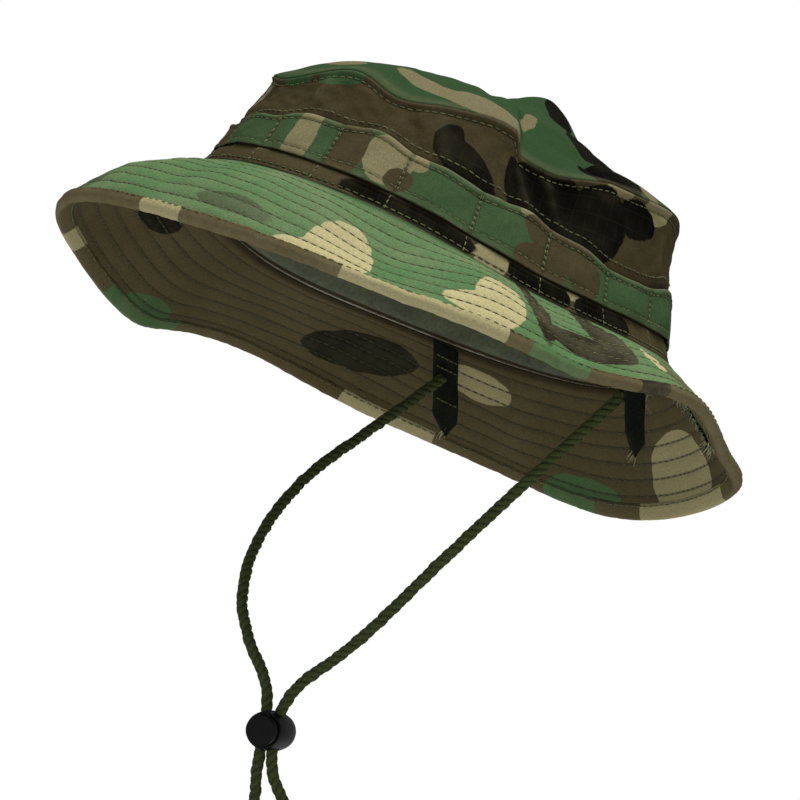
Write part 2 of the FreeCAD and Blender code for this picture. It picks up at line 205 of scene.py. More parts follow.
def wall_lean(theta, height):
    lean = WALL_LEAN + waves(theta, LEAN_WAVES)
    return lean * (np.maximum(height, 0.0) / SEAM_HEIGHT) ** LEAN_POWER


WALL_CREASES = (            # (degrees, height, half length, width, turn, rise)
    (18, 40, 10, 2.6, 84, 1.5),
    (24, 41, 9, 3.5, 70, -1.3),
    (-6, 38, 9, 4, 60, -1.2),
    (46, 40, 14, 3, 118, -1.1),
    (54, 38, 12, 3, 116, 0.9),
    (77, 40, 11, 2.2, 122, 1.3),
    (82, 38, 14, 2.6, 122, -1.5),
    (87, 38, 15, 2.4, 124, 1.4),
    (93, 37, 14, 3.2, 124, -1.5),
    (128, 36, 12, 3, 96, 1.0),
    (150, 40, 12, 4, 70, -1.4),
    (198, 38, 14, 4, 110, 1.3),
    (232, 37, 12, 4, 60, -1.4),
    (262, 40, 14, 3, 100, 1.2),
    (305, 38, 12, 4, 120, -1.2),
    (330, 40, 12, 3, 80, 1.2),
)


def wall_relief(theta, height):
    """Soft folds of the crown's side, which die out at its edges."""
    u, v = apart(theta, 0) * DEGREE, height
    free = smooth((height - 24) / 8) * smooth((SEAM_HEIGHT - height) / 6)
    total = 0.7 * folds(u, v, 26, 4) + 0.25 * folds(u, v, 9, 5)
    for degrees, middle, half_length, width, turn, rise in WALL_CREASES:
        near = apart(theta, degrees) * DEGREE
        total = total + rise * crease(near, v - middle, (0, 0), half_length, width, turn)
    return total * free


def wall(theta, height, out=0.0):
    """The crown's side: height above the junction, and distance out from the cloth's outer face."""
    theta, height = np.broadcast_arrays(np.asarray(theta, float), np.asarray(height, float))
    base = junction(theta)
    stretch = seam_height(theta) - base - SEAM_HEIGHT
    z = base + height + stretch * smooth((height - 20) / (SEAM_HEIGHT - 20))
    piping = 0.8 * hump(height, PIPING, 0.9) - 0.5 * hump(height, GROOVE, 0.9)
    x, y = oval(theta, out + piping + wall_relief(theta, height) - wall_lean(theta, height))
    return np.stack([x, y, z], -1)


DOME_CREASES = (            # (centre, half length, width, turn, rise)
    ((44, 14), 16, 3, 205, -2.5),
    ((50, 4), 14, 3, 200, 2.0),
    ((20, -22), 30, 3, 130, -1.4),
    ((-20, 0), 40, 5, 60, 1.6),
    ((-30, -40), 22, 4, 20, -1.5),
    ((-5, 55), 24, 4, 160, 1.5),
)


def dome(theta, share, lift=0.0):
    """The crown's top: share is 1 at its seam and 0 in the middle."""
    theta, share = np.broadcast_arrays(np.asarray(theta, float), np.asarray(share, float))
    edge = wall(theta, np.full(theta.shape, SEAM_HEIGHT))
    x, y = edge[..., 0] * share, edge[..., 1] * share
    level = edge[..., 2] * share ** 3 + (SEAM_HEIGHT - 2) * (1 - share ** 3)
    z = level + DOME_HEIGHT * (1 - share ** DOME_POWER)
    inside = 1 - share ** 4
    for cx, cy, rise, radius in DOME_BUMPS:
        z = z + inside * rise * np.exp(-((x - cx) ** 2 + (y - cy) ** 2) / radius ** 2)
    soft = 0.9 * folds(x, y, 30, 11) + 0.3 * folds(x, y, 11, 12)
    for centre, half_length, width, turn, rise in DOME_CREASES:
        soft = soft + rise * crease(x, y, centre, half_length, width, turn)
    z = z + inside * soft + lift
    return np.stack([x, y, z], -1)


def brim(theta, along, above=0.0):
    """The brim's upper face: along its slope from the junction, and above it."""
    theta, along = np.broadcast_arrays(np.asarray(theta, float), np.asarray(along, float))
    bow = np.sin(np.pi * np.clip(along / BRIM_WIDTH, 0, 1))
    lift = above + (2 + waves(theta, ARCH_WAVES)) * bow
    lift = lift + 0.35 * folds(theta * DEGREE * 1.3, along, 24, 21) * bow
    slope = np.radians(BRIM_DROOP + waves(theta, BRIM_WAVES))
    out_x, out_y = outward(theta)
    x, y = oval(theta)
    reach = along * np.cos(slope) + lift * np.sin(slope)
    drop = along * np.sin(slope) - lift * np.cos(slope)
    return np.stack([x + out_x * reach, y + out_y * reach, junction(theta) - drop], -1)


def row_places():
    return [FIRST_ROW + i * ROW_PITCH for i in range(ROW_COUNT)]


def quilting(along):
    """How the cloth swells between rows of stitches, from 0 at a row to 1 between two."""
    phase = (along - FIRST_ROW) / ROW_PITCH
    return np.abs(np.sin(np.pi * phase)) ** 0.6


# ---------------------------------------------------------------- camouflage

PATCH_EDGE = 2.2            # millimetres that a patch's outline wanders

# Patches are (colour, place, place, half size, half size, turn): degrees and height on the crown's
# side and bands, degrees and distance along on the brim, x and y on the top. Sizes in millimetres.
WALL_PATCHES = [
    ("green", 21, 48, 12, 5, 0),
    ("green", 6, 49, 10, 3, 0),
    ("black", 63, 30, 16, 7, -20),
    ("black", 56, 36, 6, 7, 20),
    ("black", 84, 38, 20, 14, -10),
    ("black", 101, 36, 17, 13, 0),
    ("black", 114, 42, 14, 6, -5),
    ("tan", 106, 49, 8, 3, 0),
    ("tan", 124, 48, 12, 5, 10),
    ("tan", -14, 40, 12, 5, 40),
]
TOP_PATCHES = [
    ("tan", 45, -43, 29, 8.5, 38),
    ("tan", 64, -58, 12, 7, 80),
    ("tan", 42, -11, 10, 2.4, 140),
    ("tan", 4, -72, 14, 5, 0),
    ("black", 15, 44, 24, 10, -12),
    ("black", 58, 22, 12, 15, 20),
    ("black", 36, 22, 13, 7, 35),
    ("black", 16, 16, 9, 6, 0),
    ("tan", 57, 42, 5, 4, 0),
    ("tan", 47, 36, 12, 3, 145),
    ("brown", 40, 60, 18, 12, 130),
    ("brown", -40, -30, 14, 26, 30),
    ("black", -30, 20, 24, 10, 60),
    ("tan", -52, 10, 10, 20, 0),
    ("brown", -16, 70, 22, 8, 10),
]
BAND_PATCHES = [
    ("tan", 22, 17, 5.5, 16, 0),
    ("brown", 35, 17, 7, 16, 0),
    ("tan", 45, 20, 10, 11, 0),
    ("brown", 49, 14, 6, 5, 20),
    ("tan", 52, 24, 4, 4, 0),
    ("brown", 91, 22, 18, 8, -12),
    ("brown", 86, 12, 12, 7, 0),
    ("brown", 99, 15, 9, 8, -20),
    ("tan", 84, 29, 8, 2.2, 0),
    ("brown", -12, 17, 10, 12, 0),
]
STRIP_PATCHES = [
    ("black", 54, 5, 27, 7, 0),
    ("tan", 74.5, 5, 7, 6, 0),
    ("black", 87, 5, 13, 7, 0),
    ("tan", 96.5, 7, 3, 1.5, 0),
    ("black", 106, 4, 14, 7, 0),
    ("green", 150, 5, 20, 7, 0),
]
BRIM_PATCHES = [
    ("tan", 47, 40, 12.5, 19, 0),
    ("tan", 45, 50, 15, 8, 0),
    ("tan", 74, 34, 9.5, 17, 8),
    ("tan", 71, 43, 13, 8, 0),
    ("black", 82.5, 22, 4.5, 26, 0),
    ("black", 90, 36, 17, 9, 0),
    ("black", 97.5, 20, 8.5, 22, 0),
    ("tan", 107, 28, 6, 10, 20),
    ("brown", 113, 34, 12, 22, 10),
    # Painted shade: the two shade patches darken the green at the front of the brim.
    ("shade", 28, 41, 15, 5, 0),
    ("shade", -10, 44, 9, 6, 0),
]
UNDER_PATCHES = [
    ("tan", 168, 37, 20, 17, 0),
    ("green", 196, 47, 20, 7, 0),
    ("green", 296, 47, 16, 7, 0),
    ("green", 352, 20, 10, 16, 0),
    ("black", 318, 16, 16, 9, 0),
    ("tan", 60, 30, 24, 14, 20),
    ("green", 100, 24, 30, 12, 0),
    ("black", 250, 26, 24, 12, 20),
    ("tan", 225, 14, 18, 8, 0),
]
BINDING_PATCHES = [
    ("tan", 17, 0, 11, 30, 0),
    ("tan", 62, 0, 34, 30, 0),
    ("green", 84, 0, 13, 30, 0),
    ("black", 100, 0, 7, 30, 0),
    ("tan", 168, 0, 34, 30, 0),
    ("green", 200, 0, 18, 30, 0),
    ("green", 296, 0, 30, 30, 0),
    ("tan", 322, 0, 10, 30, 0),
    ("tan", 240, 0, 24, 30, 0),
]
COLOURS = ("green", "tan", "brown", "black", "shade")
HIDDEN_FROM = 142           # patches past these directions are drawn by chance
HIDDEN_TO = 335


def scattered(seed, spread, low, high, colours, count, size):
    """Patches for the sides of the hat that nothing above places."""
    draw = np.random.default_rng(seed)
    patches = []
    for _ in range(count):
        colour = colours[draw.integers(len(colours))]
        place = draw.uniform(HIDDEN_FROM, HIDDEN_TO)
        height = draw.uniform(low, high)
        for _ in range(3):
            patches.append((
                colour,
                place + draw.uniform(-spread, spread),
                height + draw.uniform(-spread, spread) / 2,
                size * draw.uniform(0.6, 1.5),
                size * draw.uniform(0.35, 0.8),
                draw.uniform(-35, 35),
            ))
    return patches


def patch_fields(patches, u, v, round_hat=True, spacing=DEGREE):
    """For each colour, millimetres inside its nearest patch, and negative outside."""
    fields = {colour: np.full(np.shape(u), -20.0) for colour in COLOURS}
    for colour, place_u, place_v, half_u, half_v, turn in patches:
        du = apart(u, place_u) * spacing if round_hat else u - place_u
        dv = v - place_v
        c, s = math.cos(math.radians(turn)), math.sin(math.radians(turn))
        across, up = du * c + dv * s, -du * s + dv * c
        radius = np.sqrt((across / half_u) ** 2 + (up / half_v) ** 2)
        inside = (1 - radius) * min(half_u, half_v)
        fields[colour] = np.maximum(fields[colour], inside)
    return fields


# ---------------------------------------------------------------- meshes

def new_piece(name, verts, faces, uvs=None, points=None, material=None, body="hat"):
    """A smooth-shaded mesh in metres; uvs is one pair per face corner, points is {attribute: values}."""
    mesh = bpy.data.meshes.new(name)
    verts = np.asarray(verts, float).reshape(-1, 3) * MM
    faces = np.asarray(faces, int)
    mesh.vertices.add(len(verts))
    mesh.vertices.foreach_set("co", verts.ravel())
    sides = faces.shape[1]
    mesh.loops.add(faces.size)
    mesh.loops.foreach_set("vertex_index", faces.ravel())
    mesh.polygons.add(len(faces))
    mesh.polygons.foreach_set("loop_start", np.arange(len(faces)) * sides)
    mesh.update(calc_edges=True)
    mesh.validate()
    mesh.polygons.foreach_set("use_smooth", np.ones(len(mesh.polygons), bool))
    if uvs is not None:
        layer = mesh.uv_layers.new(name="cloth")
        layer.data.foreach_set("uv", (np.asarray(uvs, float) * MM).ravel())
    for key, values in (points or {}).items():
        attribute = mesh.attributes.new(key, "FLOAT", "POINT")
        attribute.data.foreach_set("value", np.asarray(values, np.float32).ravel())
    piece = bpy.data.objects.new(name, mesh)
    bpy.context.scene.collection.objects.link(piece)
    if material:
        mesh.materials.append(material)
    if body:
        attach(piece, body)
    return piece


def ring_faces(loops, columns, close_loop=True):
    """Quads of a grid whose columns go right round, as vertex numbers and as grid places."""
    rows = loops if close_loop else loops - 1
    i, j = np.meshgrid(np.arange(rows), np.arange(columns), indexing="ij")
    i, j = i.ravel(), j.ravel()
    corners_i = np.stack([i, i, i + 1, i + 1], 1)
    corners_j = np.stack([j, j + 1, j + 1, j], 1)
    return (corners_i % loops) * columns + corners_j % columns, corners_i, corners_j


def two_faces(rows, columns, closed=True):
    """Quads of a thin sheet between two grids of points; closed adds the quads round its rim."""
    i, j = np.meshgrid(np.arange(rows - 1), np.arange(columns - 1), indexing="ij")
    corner = (i * columns + j).ravel()
    grid = np.stack([corner, corner + 1, corner + columns + 1, corner + columns], 1)
    offset = rows * columns
    faces = [grid, grid[:, ::-1] + offset]
    if closed:
        rim = list(range(columns)) + [r * columns + columns - 1 for r in range(1, rows)]
        rim += [(rows - 1) * columns + c for c in range(columns - 2, -1, -1)]
        rim += [r * columns for r in range(rows - 2, 0, -1)]
        rim = np.array(rim)
        after = np.roll(rim, -1)
        faces.append(np.stack([rim, after, after + offset, rim + offset], 1)[:, ::-1])
    return np.concatenate(faces)


def ring_piece(name, points, along, material, fields=None, extra=None, around=None):
    """A closed ring swept round the hat. points[i, j] is section point i in direction j; along[i] is
    its distance over the cloth; around is the cloth's length right round."""
    loops, columns = points.shape[:2]
    faces, ci, cj = ring_faces(loops, columns)
    around = around or 360 * DEGREE
    along = np.append(along, along[-1] + (along[-1] - along[-2]))
    uvs = np.stack([cj / columns * around, along[ci]], -1)
    attributes = dict(fields or {})
    attributes.update(extra or {})
    return new_piece(name, points, faces[:, ::-1], uvs[:, ::-1], attributes, material)


def sheet_ring(surface, low, high, rows, thickness, edge=0.25):
    """A section round a sheet: outer face up, over the rounded edge, inner face down.
    surface(height, out) gives the points; low and high may vary with direction."""
    steps = np.linspace(0, 1, rows)
    sections, places = [], []
    for face, rounding, order in ((0.0, -edge, steps), (-thickness, edge, steps[::-1])):
        for s in order:
            at_edge = min(s, 1 - s) * (rows - 1) < 0.5
            sections.append((low + (high - low) * s, face + (rounding if at_edge else 0.0)))
            places.append(s)
    points = np.stack([surface(height, out) for height, out in sections])
    return points, np.array(places)


# ---------------------------------------------------------------- stitches

STITCH_SIDES = 6
STITCH_RINGS = (            # (share of its length, share of its width, height)
    (0.0, 0.35, -0.30), (0.18, 0.95, 0.10), (0.5, 1.0, 0.16), (0.82, 0.95, 0.10), (1.0, 0.35, -0.30),
)


def stitch_mesh(runs, pitch, gap, width):
    """Separate stitches along runs of (points, normals), each a thread that dives in at both ends."""
    verts, shades = [], []
    for number, (points, normals) in enumerate(runs):
        steps = np.linalg.norm(np.diff(points, axis=0), axis=1)
        length = np.concatenate([[0], np.cumsum(steps)])
        count = max(1, int(length[-1] / pitch))
        starts = (np.arange(count) + 0.5 * gap / pitch) * length[-1] / count
        real = length[-1] / count - gap
        draw = np.random.default_rng(100 + number)
        starts = starts + draw.uniform(-0.12, 0.12, count)
        sideways = draw.uniform(-0.12, 0.12, count)
        shade = draw.uniform(0, 1, count)

        def at(distance, table):
            return np.stack([np.interp(distance, length, table[:, k]) for k in range(3)], -1)

        first, last = at(starts, points), at(starts + real, points)
        heading = last - first
        heading /= np.linalg.norm(heading, axis=1, keepdims=True)
        rings = []
        for share, thick, height in STITCH_RINGS:
            centre = at(starts + share * real, points)
            normal = at(starts + share * real, normals)
            normal /= np.linalg.norm(normal, axis=1, keepdims=True)
            side = np.cross(heading, normal)
            side /= np.linalg.norm(side, axis=1, keepdims=True)
            centre = centre + normal * (height + 0.12) + side * sideways[:, None]
            ring = []
            for k in range(STITCH_SIDES):
                turn = 2 * math.pi * k / STITCH_SIDES
                radius = thick * width / 2
                ring.append(centre + side * math.cos(turn) * radius + normal * math.sin(turn) * radius * 0.8)
            rings.append(np.stack(ring, 1))
        verts.append(np.stack(rings, 1).reshape(count, -1, 3))
        shades.append(np.repeat(shade, len(STITCH_RINGS) * STITCH_SIDES))
    verts = np.concatenate(verts)
    per = verts.shape[1]
    quads = []
    for r in range(len(STITCH_RINGS) - 1):
        for k in range(STITCH_SIDES):
            a, b = r * STITCH_SIDES + k, r * STITCH_SIDES + (k + 1) % STITCH_SIDES
            quads.append((a, a + STITCH_SIDES, b + STITCH_SIDES, b))
    end = (len(STITCH_RINGS) - 1) * STITCH_SIDES
    for base, flip in ((0, False), (end, True)):
        for quad in ((0, 1, 2, 3), (0, 3, 4, 5)):
            corners = [base + q for q in quad]
            quads.append(tuple(corners[::-1] if flip else corners))
    quads = np.array(quads)
    offsets = np.arange(len(verts)) * per
    faces = (offsets[:, None, None] + quads[None]).reshape(-1, 4)
    return verts.reshape(-1, 3), faces, np.concatenate(shades)


def stitches(name, runs, pitch=3.5, gap=0.7, width=0.62, material=None):
    verts, faces, shades = stitch_mesh(runs, pitch, gap, width)
    return new_piece(name, verts, faces, None, {"shade": shades}, material or thread)


def run_round(surface, theta=None):
    """A run of stitches right round a surface(theta, offset), with the surface's outward normals."""
    theta = np.linspace(0, 360, 721) if theta is None else theta
    points = surface(theta, 0.0)
    lifted = surface(theta, 0.5)
    return points, lifted - points


# ---------------------------------------------------------------- materials

def node(tree, kind, **inputs):
    made = tree.nodes.new(kind)
    for key, value in inputs.items():
        if key.startswith("set_"):
            setattr(made, key[4:], value)
        else:
            socket = made.inputs[int(key[1:])] if key[0] == "i" and key[1:].isdigit() else made.inputs[key]
            if isinstance(value, bpy.types.NodeSocket):
                tree.links.new(value, socket)
            else:
                socket.default_value = value
    return made


def maths(tree, operation, a, b=0.0):
    return node(tree, "ShaderNodeMath", set_operation=operation, i0=a, i1=b).outputs[0]


def weighted(tree, a, share_a, b, share_b):
    """The sum of two values, each multiplied by a number."""
    return maths(tree, "ADD", maths(tree, "MULTIPLY", a, share_a), maths(tree, "MULTIPLY", b, share_b))


def remap(tree, value, from_min=0.0, from_max=1.0, to_min=0.0, to_max=1.0):
    """A value moved from one range into another."""
    limits = {"From Min": from_min, "From Max": from_max, "To Min": to_min, "To Max": to_max}
    return node(tree, "ShaderNodeMapRange", Value=value, **limits).outputs[0]


def mix_colour(tree, factor, a, b, blend="MIX"):
    made = tree.nodes.new("ShaderNodeMix")
    made.data_type = "RGBA"
    made.blend_type = blend
    made.clamp_factor = True
    for socket, value in ((made.inputs[0], factor), (made.inputs[6], a), (made.inputs[7], b)):
        if isinstance(value, bpy.types.NodeSocket):
            tree.links.new(value, socket)
        else:
            socket.default_value = value
    return made.outputs[2]


def linear(red, green, blue):
    """A colour as seen on a screen, 0 to 255, as the shader wants it."""
    def one(c):
        c = c / 255
        return c / 12.92 if c <= 0.04045 else ((c + 0.055) / 1.055) ** 2.4
    return (one(red), one(green), one(blue), 1.0)


def new_material(name, roughness, sheen=0.0):
    material = bpy.data.materials.new(name)
    material.use_nodes = True
    shader = material.node_tree.nodes["Principled BSDF"]
    shader.inputs["Roughness"].default_value = roughness
    if sheen:
        shader.inputs["Sheen Weight"].default_value = sheen
        shader.inputs["Sheen Roughness"].default_value = 0.6
    return material, material.node_tree, shader


def noise(tree, vector, scale, detail=2.0, rough=0.5):
    made = node(tree, "ShaderNodeTexNoise", Vector=vector, Scale=scale, Detail=detail, Roughness=rough)
    return made.outputs["Fac"]


def attribute(tree, name):
    made = tree.nodes.new("ShaderNodeAttribute")
    made.attribute_name = name
    return made.outputs["Fac"]


PALETTE = {
    "green": linear(68, 100, 62),
    "tan": linear(158, 150, 110),
    "brown": linear(80, 71, 47),
    "black": linear(16, 13, 8),
    # Painted shade: a darker green for the patches of shade on the brim.
    "shade": linear(50, 70, 46),
}
THREAD_PER_METRE = 1650     # yarns to each metre of cloth
RIPSTOP = 0.0055            # metres between the cloth's stronger yarns


def weave(tree, uv):
    """Height of the cloth's yarns and its grid of stronger yarns, 0 to 1, and the grid alone."""
    split = node(tree, "ShaderNodeSeparateXYZ", Vector=uv)
    bars = []
    grids = []
    for axis in (0, 1):
        place = split.outputs[axis]
        wave = maths(tree, "SINE", maths(tree, "MULTIPLY", place, THREAD_PER_METRE * 2 * math.pi))
        bars.append(wave)
        cell = maths(tree, "PINGPONG", place, RIPSTOP / 2)
        grids.append(maths(tree, "LESS_THAN", cell, 0.00018))
    yarn = maths(tree, "MULTIPLY", bars[0], bars[1])
    grid = maths(tree, "MAXIMUM", grids[0], grids[1])
    return weighted(tree, yarn, 0.35, grid, 0.8), grid


def camouflage(name, base, rows=False, fade=1.0, twill=0.28, gain=1.0):
    """Printed cloth: patches with crisp uneven edges, yarns, a ripstop grid, fading, fuzz and wear, painted
    shade in creases and grooves, and painted light as a brightness (gain) for each part.
    """
    material, tree, shader = new_material(name, 0.94)
    place = node(tree, "ShaderNodeTexCoord").outputs["Object"]
    uv = node(tree, "ShaderNodeUVMap", set_uv_map="cloth").outputs["UV"]
    drift = maths(tree, "SUBTRACT", noise(tree, place, 62, 3.0, 0.55), 0.5)
    wander = maths(tree, "MULTIPLY", drift, 2 * PATCH_EDGE)
    fine = maths(tree, "SUBTRACT", noise(tree, place, 900, 2.0), 0.5)
    wander = maths(tree, "ADD", wander, maths(tree, "MULTIPLY", fine, 0.3))
    colour = PALETTE[base]
    for key in ("shade", "green", "tan", "brown", "black"):
        inside = maths(tree, "ADD", attribute(tree, "camo_" + key), wander)
        edge = maths(tree, "MULTIPLY_ADD", inside, 3.0)
        edge.node.inputs[2].default_value = 0.5
        edge.node.use_clamp = True
        colour = mix_colour(tree, edge, colour, PALETTE[key])
    height, grid = weave(tree, uv)
    # Fading: broad worn areas, paler and a little yellower.
    broad = noise(tree, place, 28, 3.0, 0.6)
    pale = remap(tree, broad, 0.4, 0.75, to_max=0.22 * fade)
    colour = mix_colour(tree, pale, colour, linear(128, 126, 98))
    # Fuzz: light and dark fibre specks.
    speck = noise(tree, place, 1500, 2.0, 0.7)
    colour = tinted(tree, colour, remap(tree, speck, 0.25, 0.75, 1 - twill, 1 + twill))
    colour = mix_colour(tree, maths(tree, "MULTIPLY", grid, 0.025), colour, linear(150, 144, 112))
    # Wear on folds and hems, and painted shade darkening the creases, grooves and gaps between parts.
    worn = maths(tree, "MULTIPLY", attribute(tree, "wear"), noise(tree, place, 300, 3.0, 0.7))
    colour = mix_colour(tree, maths(tree, "MULTIPLY", worn, 0.6), colour, linear(164, 156, 120))
    colour = tinted(tree, colour, maths(tree, "SUBTRACT", 1.0, attribute(tree, "painted_shade")))
    # Painted shade along the rows of stitches, where the cloth is pulled into a groove.
    if rows:
        colour = row_groove_shade(tree, uv, colour)
    # Painted light: each part's copy of the cloth is made lighter or darker by its gain.
    colour = tinted(tree, colour, gain)
    tree.links.new(colour, shader.inputs["Base Color"])
    shader.inputs["Specular IOR Level"].default_value = 0.02
    yarns = weighted(tree, height, 0.5, speck, 0.8)
    bump = node(tree, "ShaderNodeBump", Strength=0.5, Distance=0.00022, Height=yarns)
    creases = noise(tree, place, 75, 3.0, 0.5)
    crumple = node(tree, "ShaderNodeBump", Strength=0.55, Distance=0.0022, Height=creases)
    tree.links.new(crumple.outputs[0], bump.inputs["Normal"])
    tree.links.new(bump.outputs[0], shader.inputs["Normal"])
    return material


def tinted(tree, colour, gain):
    """A colour made lighter or darker by a number."""
    grey = node(tree, "ShaderNodeCombineColor", Red=gain, Green=gain, Blue=gain).outputs[0]
    return mix_colour(tree, 1.0, colour, grey, "MULTIPLY")


def row_groove_shade(tree, uv, colour):
    """Painted shade: the brim's cloth is darkened along each row of stitches, in the groove where the row
    pulls it in.
    """
    along = node(tree, "ShaderNodeSeparateXYZ", Vector=uv).outputs[1]
    start = (FIRST_ROW - 50 * ROW_PITCH) * MM
    gap = maths(tree, "PINGPONG", maths(tree, "SUBTRACT", along, start), ROW_PITCH * MM / 2)
    near = maths(tree, "LESS_THAN", gap, 0.00055)
    return mix_colour(tree, maths(tree, "MULTIPLY", near, 0.38), colour, linear(52, 56, 30))


def plain_cloth(name, colour, darker, scale=700, roughness=0.9, sheen=0.2, bump_depth=0.0002):
    """Cloth or tape of one uneven colour, with a fine weave."""
    material, tree, shader = new_material(name, roughness, sheen)
    place = node(tree, "ShaderNodeTexCoord").outputs["Object"]
    broad = noise(tree, place, 90, 3.0, 0.6)
    fine = noise(tree, place, scale, 2.0, 0.6)
    level = remap(tree, weighted(tree, broad, 0.5, fine, 0.5), 0.35, 0.65)
    tree.links.new(mix_colour(tree, level, darker, colour), shader.inputs["Base Color"])
    shader.inputs["Specular IOR Level"].default_value = 0.2
    bump = node(tree, "ShaderNodeBump", Strength=0.6, Distance=bump_depth, Height=fine)
    tree.links.new(bump.outputs[0], shader.inputs["Normal"])
    return material


def thread_material(name, light, dark):
    """Sewing thread: each stitch its own shade, twisted plies as bump."""
    material, tree, shader = new_material(name, 0.8, 0.05)
    place = node(tree, "ShaderNodeTexCoord").outputs["Object"]
    ply = noise(tree, place, 2600, 1.0)
    level = weighted(tree, attribute(tree, "shade"), 0.6, ply, 0.5)
    colour = mix_colour(tree, level, dark, light)
    tree.links.new(colour, shader.inputs["Base Color"])
    bump = node(tree, "ShaderNodeBump", Strength=0.6, Distance=0.0001, Height=ply)
    tree.links.new(bump.outputs[0], shader.inputs["Normal"])
    return material


def cord_material():
    """Olive cotton cord: strands with painted light on their backs, painted shade in the valleys between them,
    and loose fibres.
    """
    material, tree, shader = new_material("cord_cotton", 0.95)
    shader.inputs["Specular IOR Level"].default_value = 0.1
    place = node(tree, "ShaderNodeTexCoord").outputs["Object"]
    fibre = noise(tree, place, 1300, 3.0, 0.75)
    broad = noise(tree, place, 60, 2.0)
    raised = attribute(tree, "raised")
    level = weighted(tree, raised, 0.9, fibre, 1.6)
    # Painted light and shade: near black in the valleys between the strands, lighter olive on their backs.
    colour = mix_colour(tree, maths(tree, "SUBTRACT", level, 1.0), linear(8, 12, 6), linear(74, 86, 46))
    colour = mix_colour(tree, maths(tree, "MULTIPLY", broad, 0.25), colour, linear(78, 78, 56))
    tree.links.new(colour, shader.inputs["Base Color"])
    bump = node(tree, "ShaderNodeBump", Strength=0.8, Distance=0.0003, Height=fibre)
    tree.links.new(bump.outputs[0], shader.inputs["Normal"])
    return material


def plastic_material():
    """Black moulded plastic: satin, with a fine spark-eroded grain and rubbed high spots."""
    material, tree, shader = new_material("lock_black_plastic", 0.42)
    place = node(tree, "ShaderNodeTexCoord").outputs["Object"]
    grain = noise(tree, place, 1800, 3.0, 0.6)
    rub = noise(tree, place, 240, 3.0, 0.6)
    colour = mix_colour(tree, rub, linear(3, 3, 4), linear(9, 9, 10))
    tree.links.new(colour, shader.inputs["Base Color"])
    tree.links.new(remap(tree, rub, to_min=0.34, to_max=0.58), shader.inputs["Roughness"])
    shader.inputs["Specular IOR Level"].default_value = 0.14
    bump = node(tree, "ShaderNodeBump", Strength=0.35, Distance=0.0001, Height=grain)
    tree.links.new(bump.outputs[0], shader.inputs["Normal"])
    return material


def steel_material():
    material, tree, shader = new_material("spring_wire", 0.35)
    shader.inputs["Metallic"].default_value = 1.0
    place = node(tree, "ShaderNodeTexCoord").outputs["Object"]
    drawn = noise(tree, place, 3000, 2.0)
    colour = mix_colour(tree, drawn, linear(150, 150, 152), linear(205, 205, 208))
    tree.links.new(colour, shader.inputs["Base Color"])
    return material


thread = thread_material("olive_thread", linear(104, 108, 56), linear(44, 48, 24))
under_thread = thread_material("under_thread", linear(66, 64, 42), linear(34, 32, 20))
pale_thread = thread_material("pale_thread", linear(196, 188, 150), linear(130, 126, 90))

# Painted light: copies of one cloth with different gains, lightest on the brim's upper face, darker under the
# brim and darkest on the crown's top.
camo_crown = camouflage("camo_cloth_crown", "brown", fade=0.3, gain=0.6)
camo_top = camouflage("camo_cloth_top", "green", fade=0.6, gain=0.42)
camo_band = camouflage("camo_cloth_band", "green", fade=0.5, gain=0.6)
camo_strip = camouflage("camo_cloth_strip", "brown", fade=0.5, gain=0.72)
camo_brim = camouflage("camo_cloth_brim", "green", rows=True, fade=1.6, twill=0.34, gain=1.2)
camo_under = camouflage("camo_cloth_under", "brown", rows=True, fade=0.5, gain=0.85)
camo_binding = camouflage("camo_cloth_binding", "brown")
lining = plain_cloth("sweatband_cotton", linear(86, 92, 66), linear(58, 62, 44))
stiffener = plain_cloth("stiffener_canvas", linear(196, 190, 168), linear(150, 144, 120))
tab_web = plain_cloth(
    "tab_cloth_dark", linear(24, 30, 18), linear(8, 10, 6), scale=900, sheen=0.0, bump_depth=0.0004,
)
label_weave = plain_cloth("label_cotton", linear(186, 182, 160), linear(150, 146, 124), scale=1400)
frayed = plain_cloth("frayed_cloth", linear(72, 112, 78), linear(30, 48, 30), scale=900, sheen=0.0)
cord_cotton = cord_material()
plastic = plastic_material()
steel = steel_material()


# ---------------------------------------------------------------- camera

TOWARDS_CAMERA = Vector((0.8484, -0.4872, -0.2071))
IMAGE_RIGHT = Vector((0.5289, 0.7633, 0.3711))
IMAGE_UP = Vector((-0.0227, -0.4243, 0.9052))
CAMERA_DISTANCE = 1.3
AIM = IMAGE_RIGHT * -0.0111 + IMAGE_UP * -0.0445


def make_camera():
    data = bpy.data.cameras.new("camera")
    data.lens = 152.3
    data.sensor_width = 36.0
    data.clip_start = 0.05
    camera = bpy.data.objects.new("camera", data)
    bpy.context.scene.collection.objects.link(camera)
    place = TOWARDS_CAMERA.normalized() * CAMERA_DISTANCE
    back = (place - AIM).normalized()
    right = (IMAGE_RIGHT - back * IMAGE_RIGHT.dot(back)).normalized()
    up = back.cross(right)
    camera.matrix_world = Matrix((
        (right.x, up.x, back.x, place.x),
        (right.y, up.y, back.y, place.y),
        (right.z, up.z, back.z, place.z),
        (0, 0, 0, 1),
    ))
    bpy.context.scene.camera = camera


# ---------------------------------------------------------------- chin cord

CORD_DIAMETER = 4.5
STRAND_PITCH = 4.6
LOCK_CENTRE = Vector((0.5, 9.2, -181.0))
LOCK_TILT = math.radians(12.7)
LOCK_YAW = math.radians(40.0)
WORN_LEAN = math.radians(25.0)
CORD_STRANDS = 3
CORD_LAY = 10.0             # millimetres that a strand takes to go once round


def lock_axes():
    """The lock's own X, Y and Z."""
    cy, sy = math.cos(LOCK_YAW), math.sin(LOCK_YAW)
    ct, st = math.cos(LOCK_TILT), math.sin(LOCK_TILT)
    x = Vector((cy, sy * ct, sy * st))
    y = Vector((-sy, cy * ct, cy * st))
    return x, y, Vector((0, -st, ct))


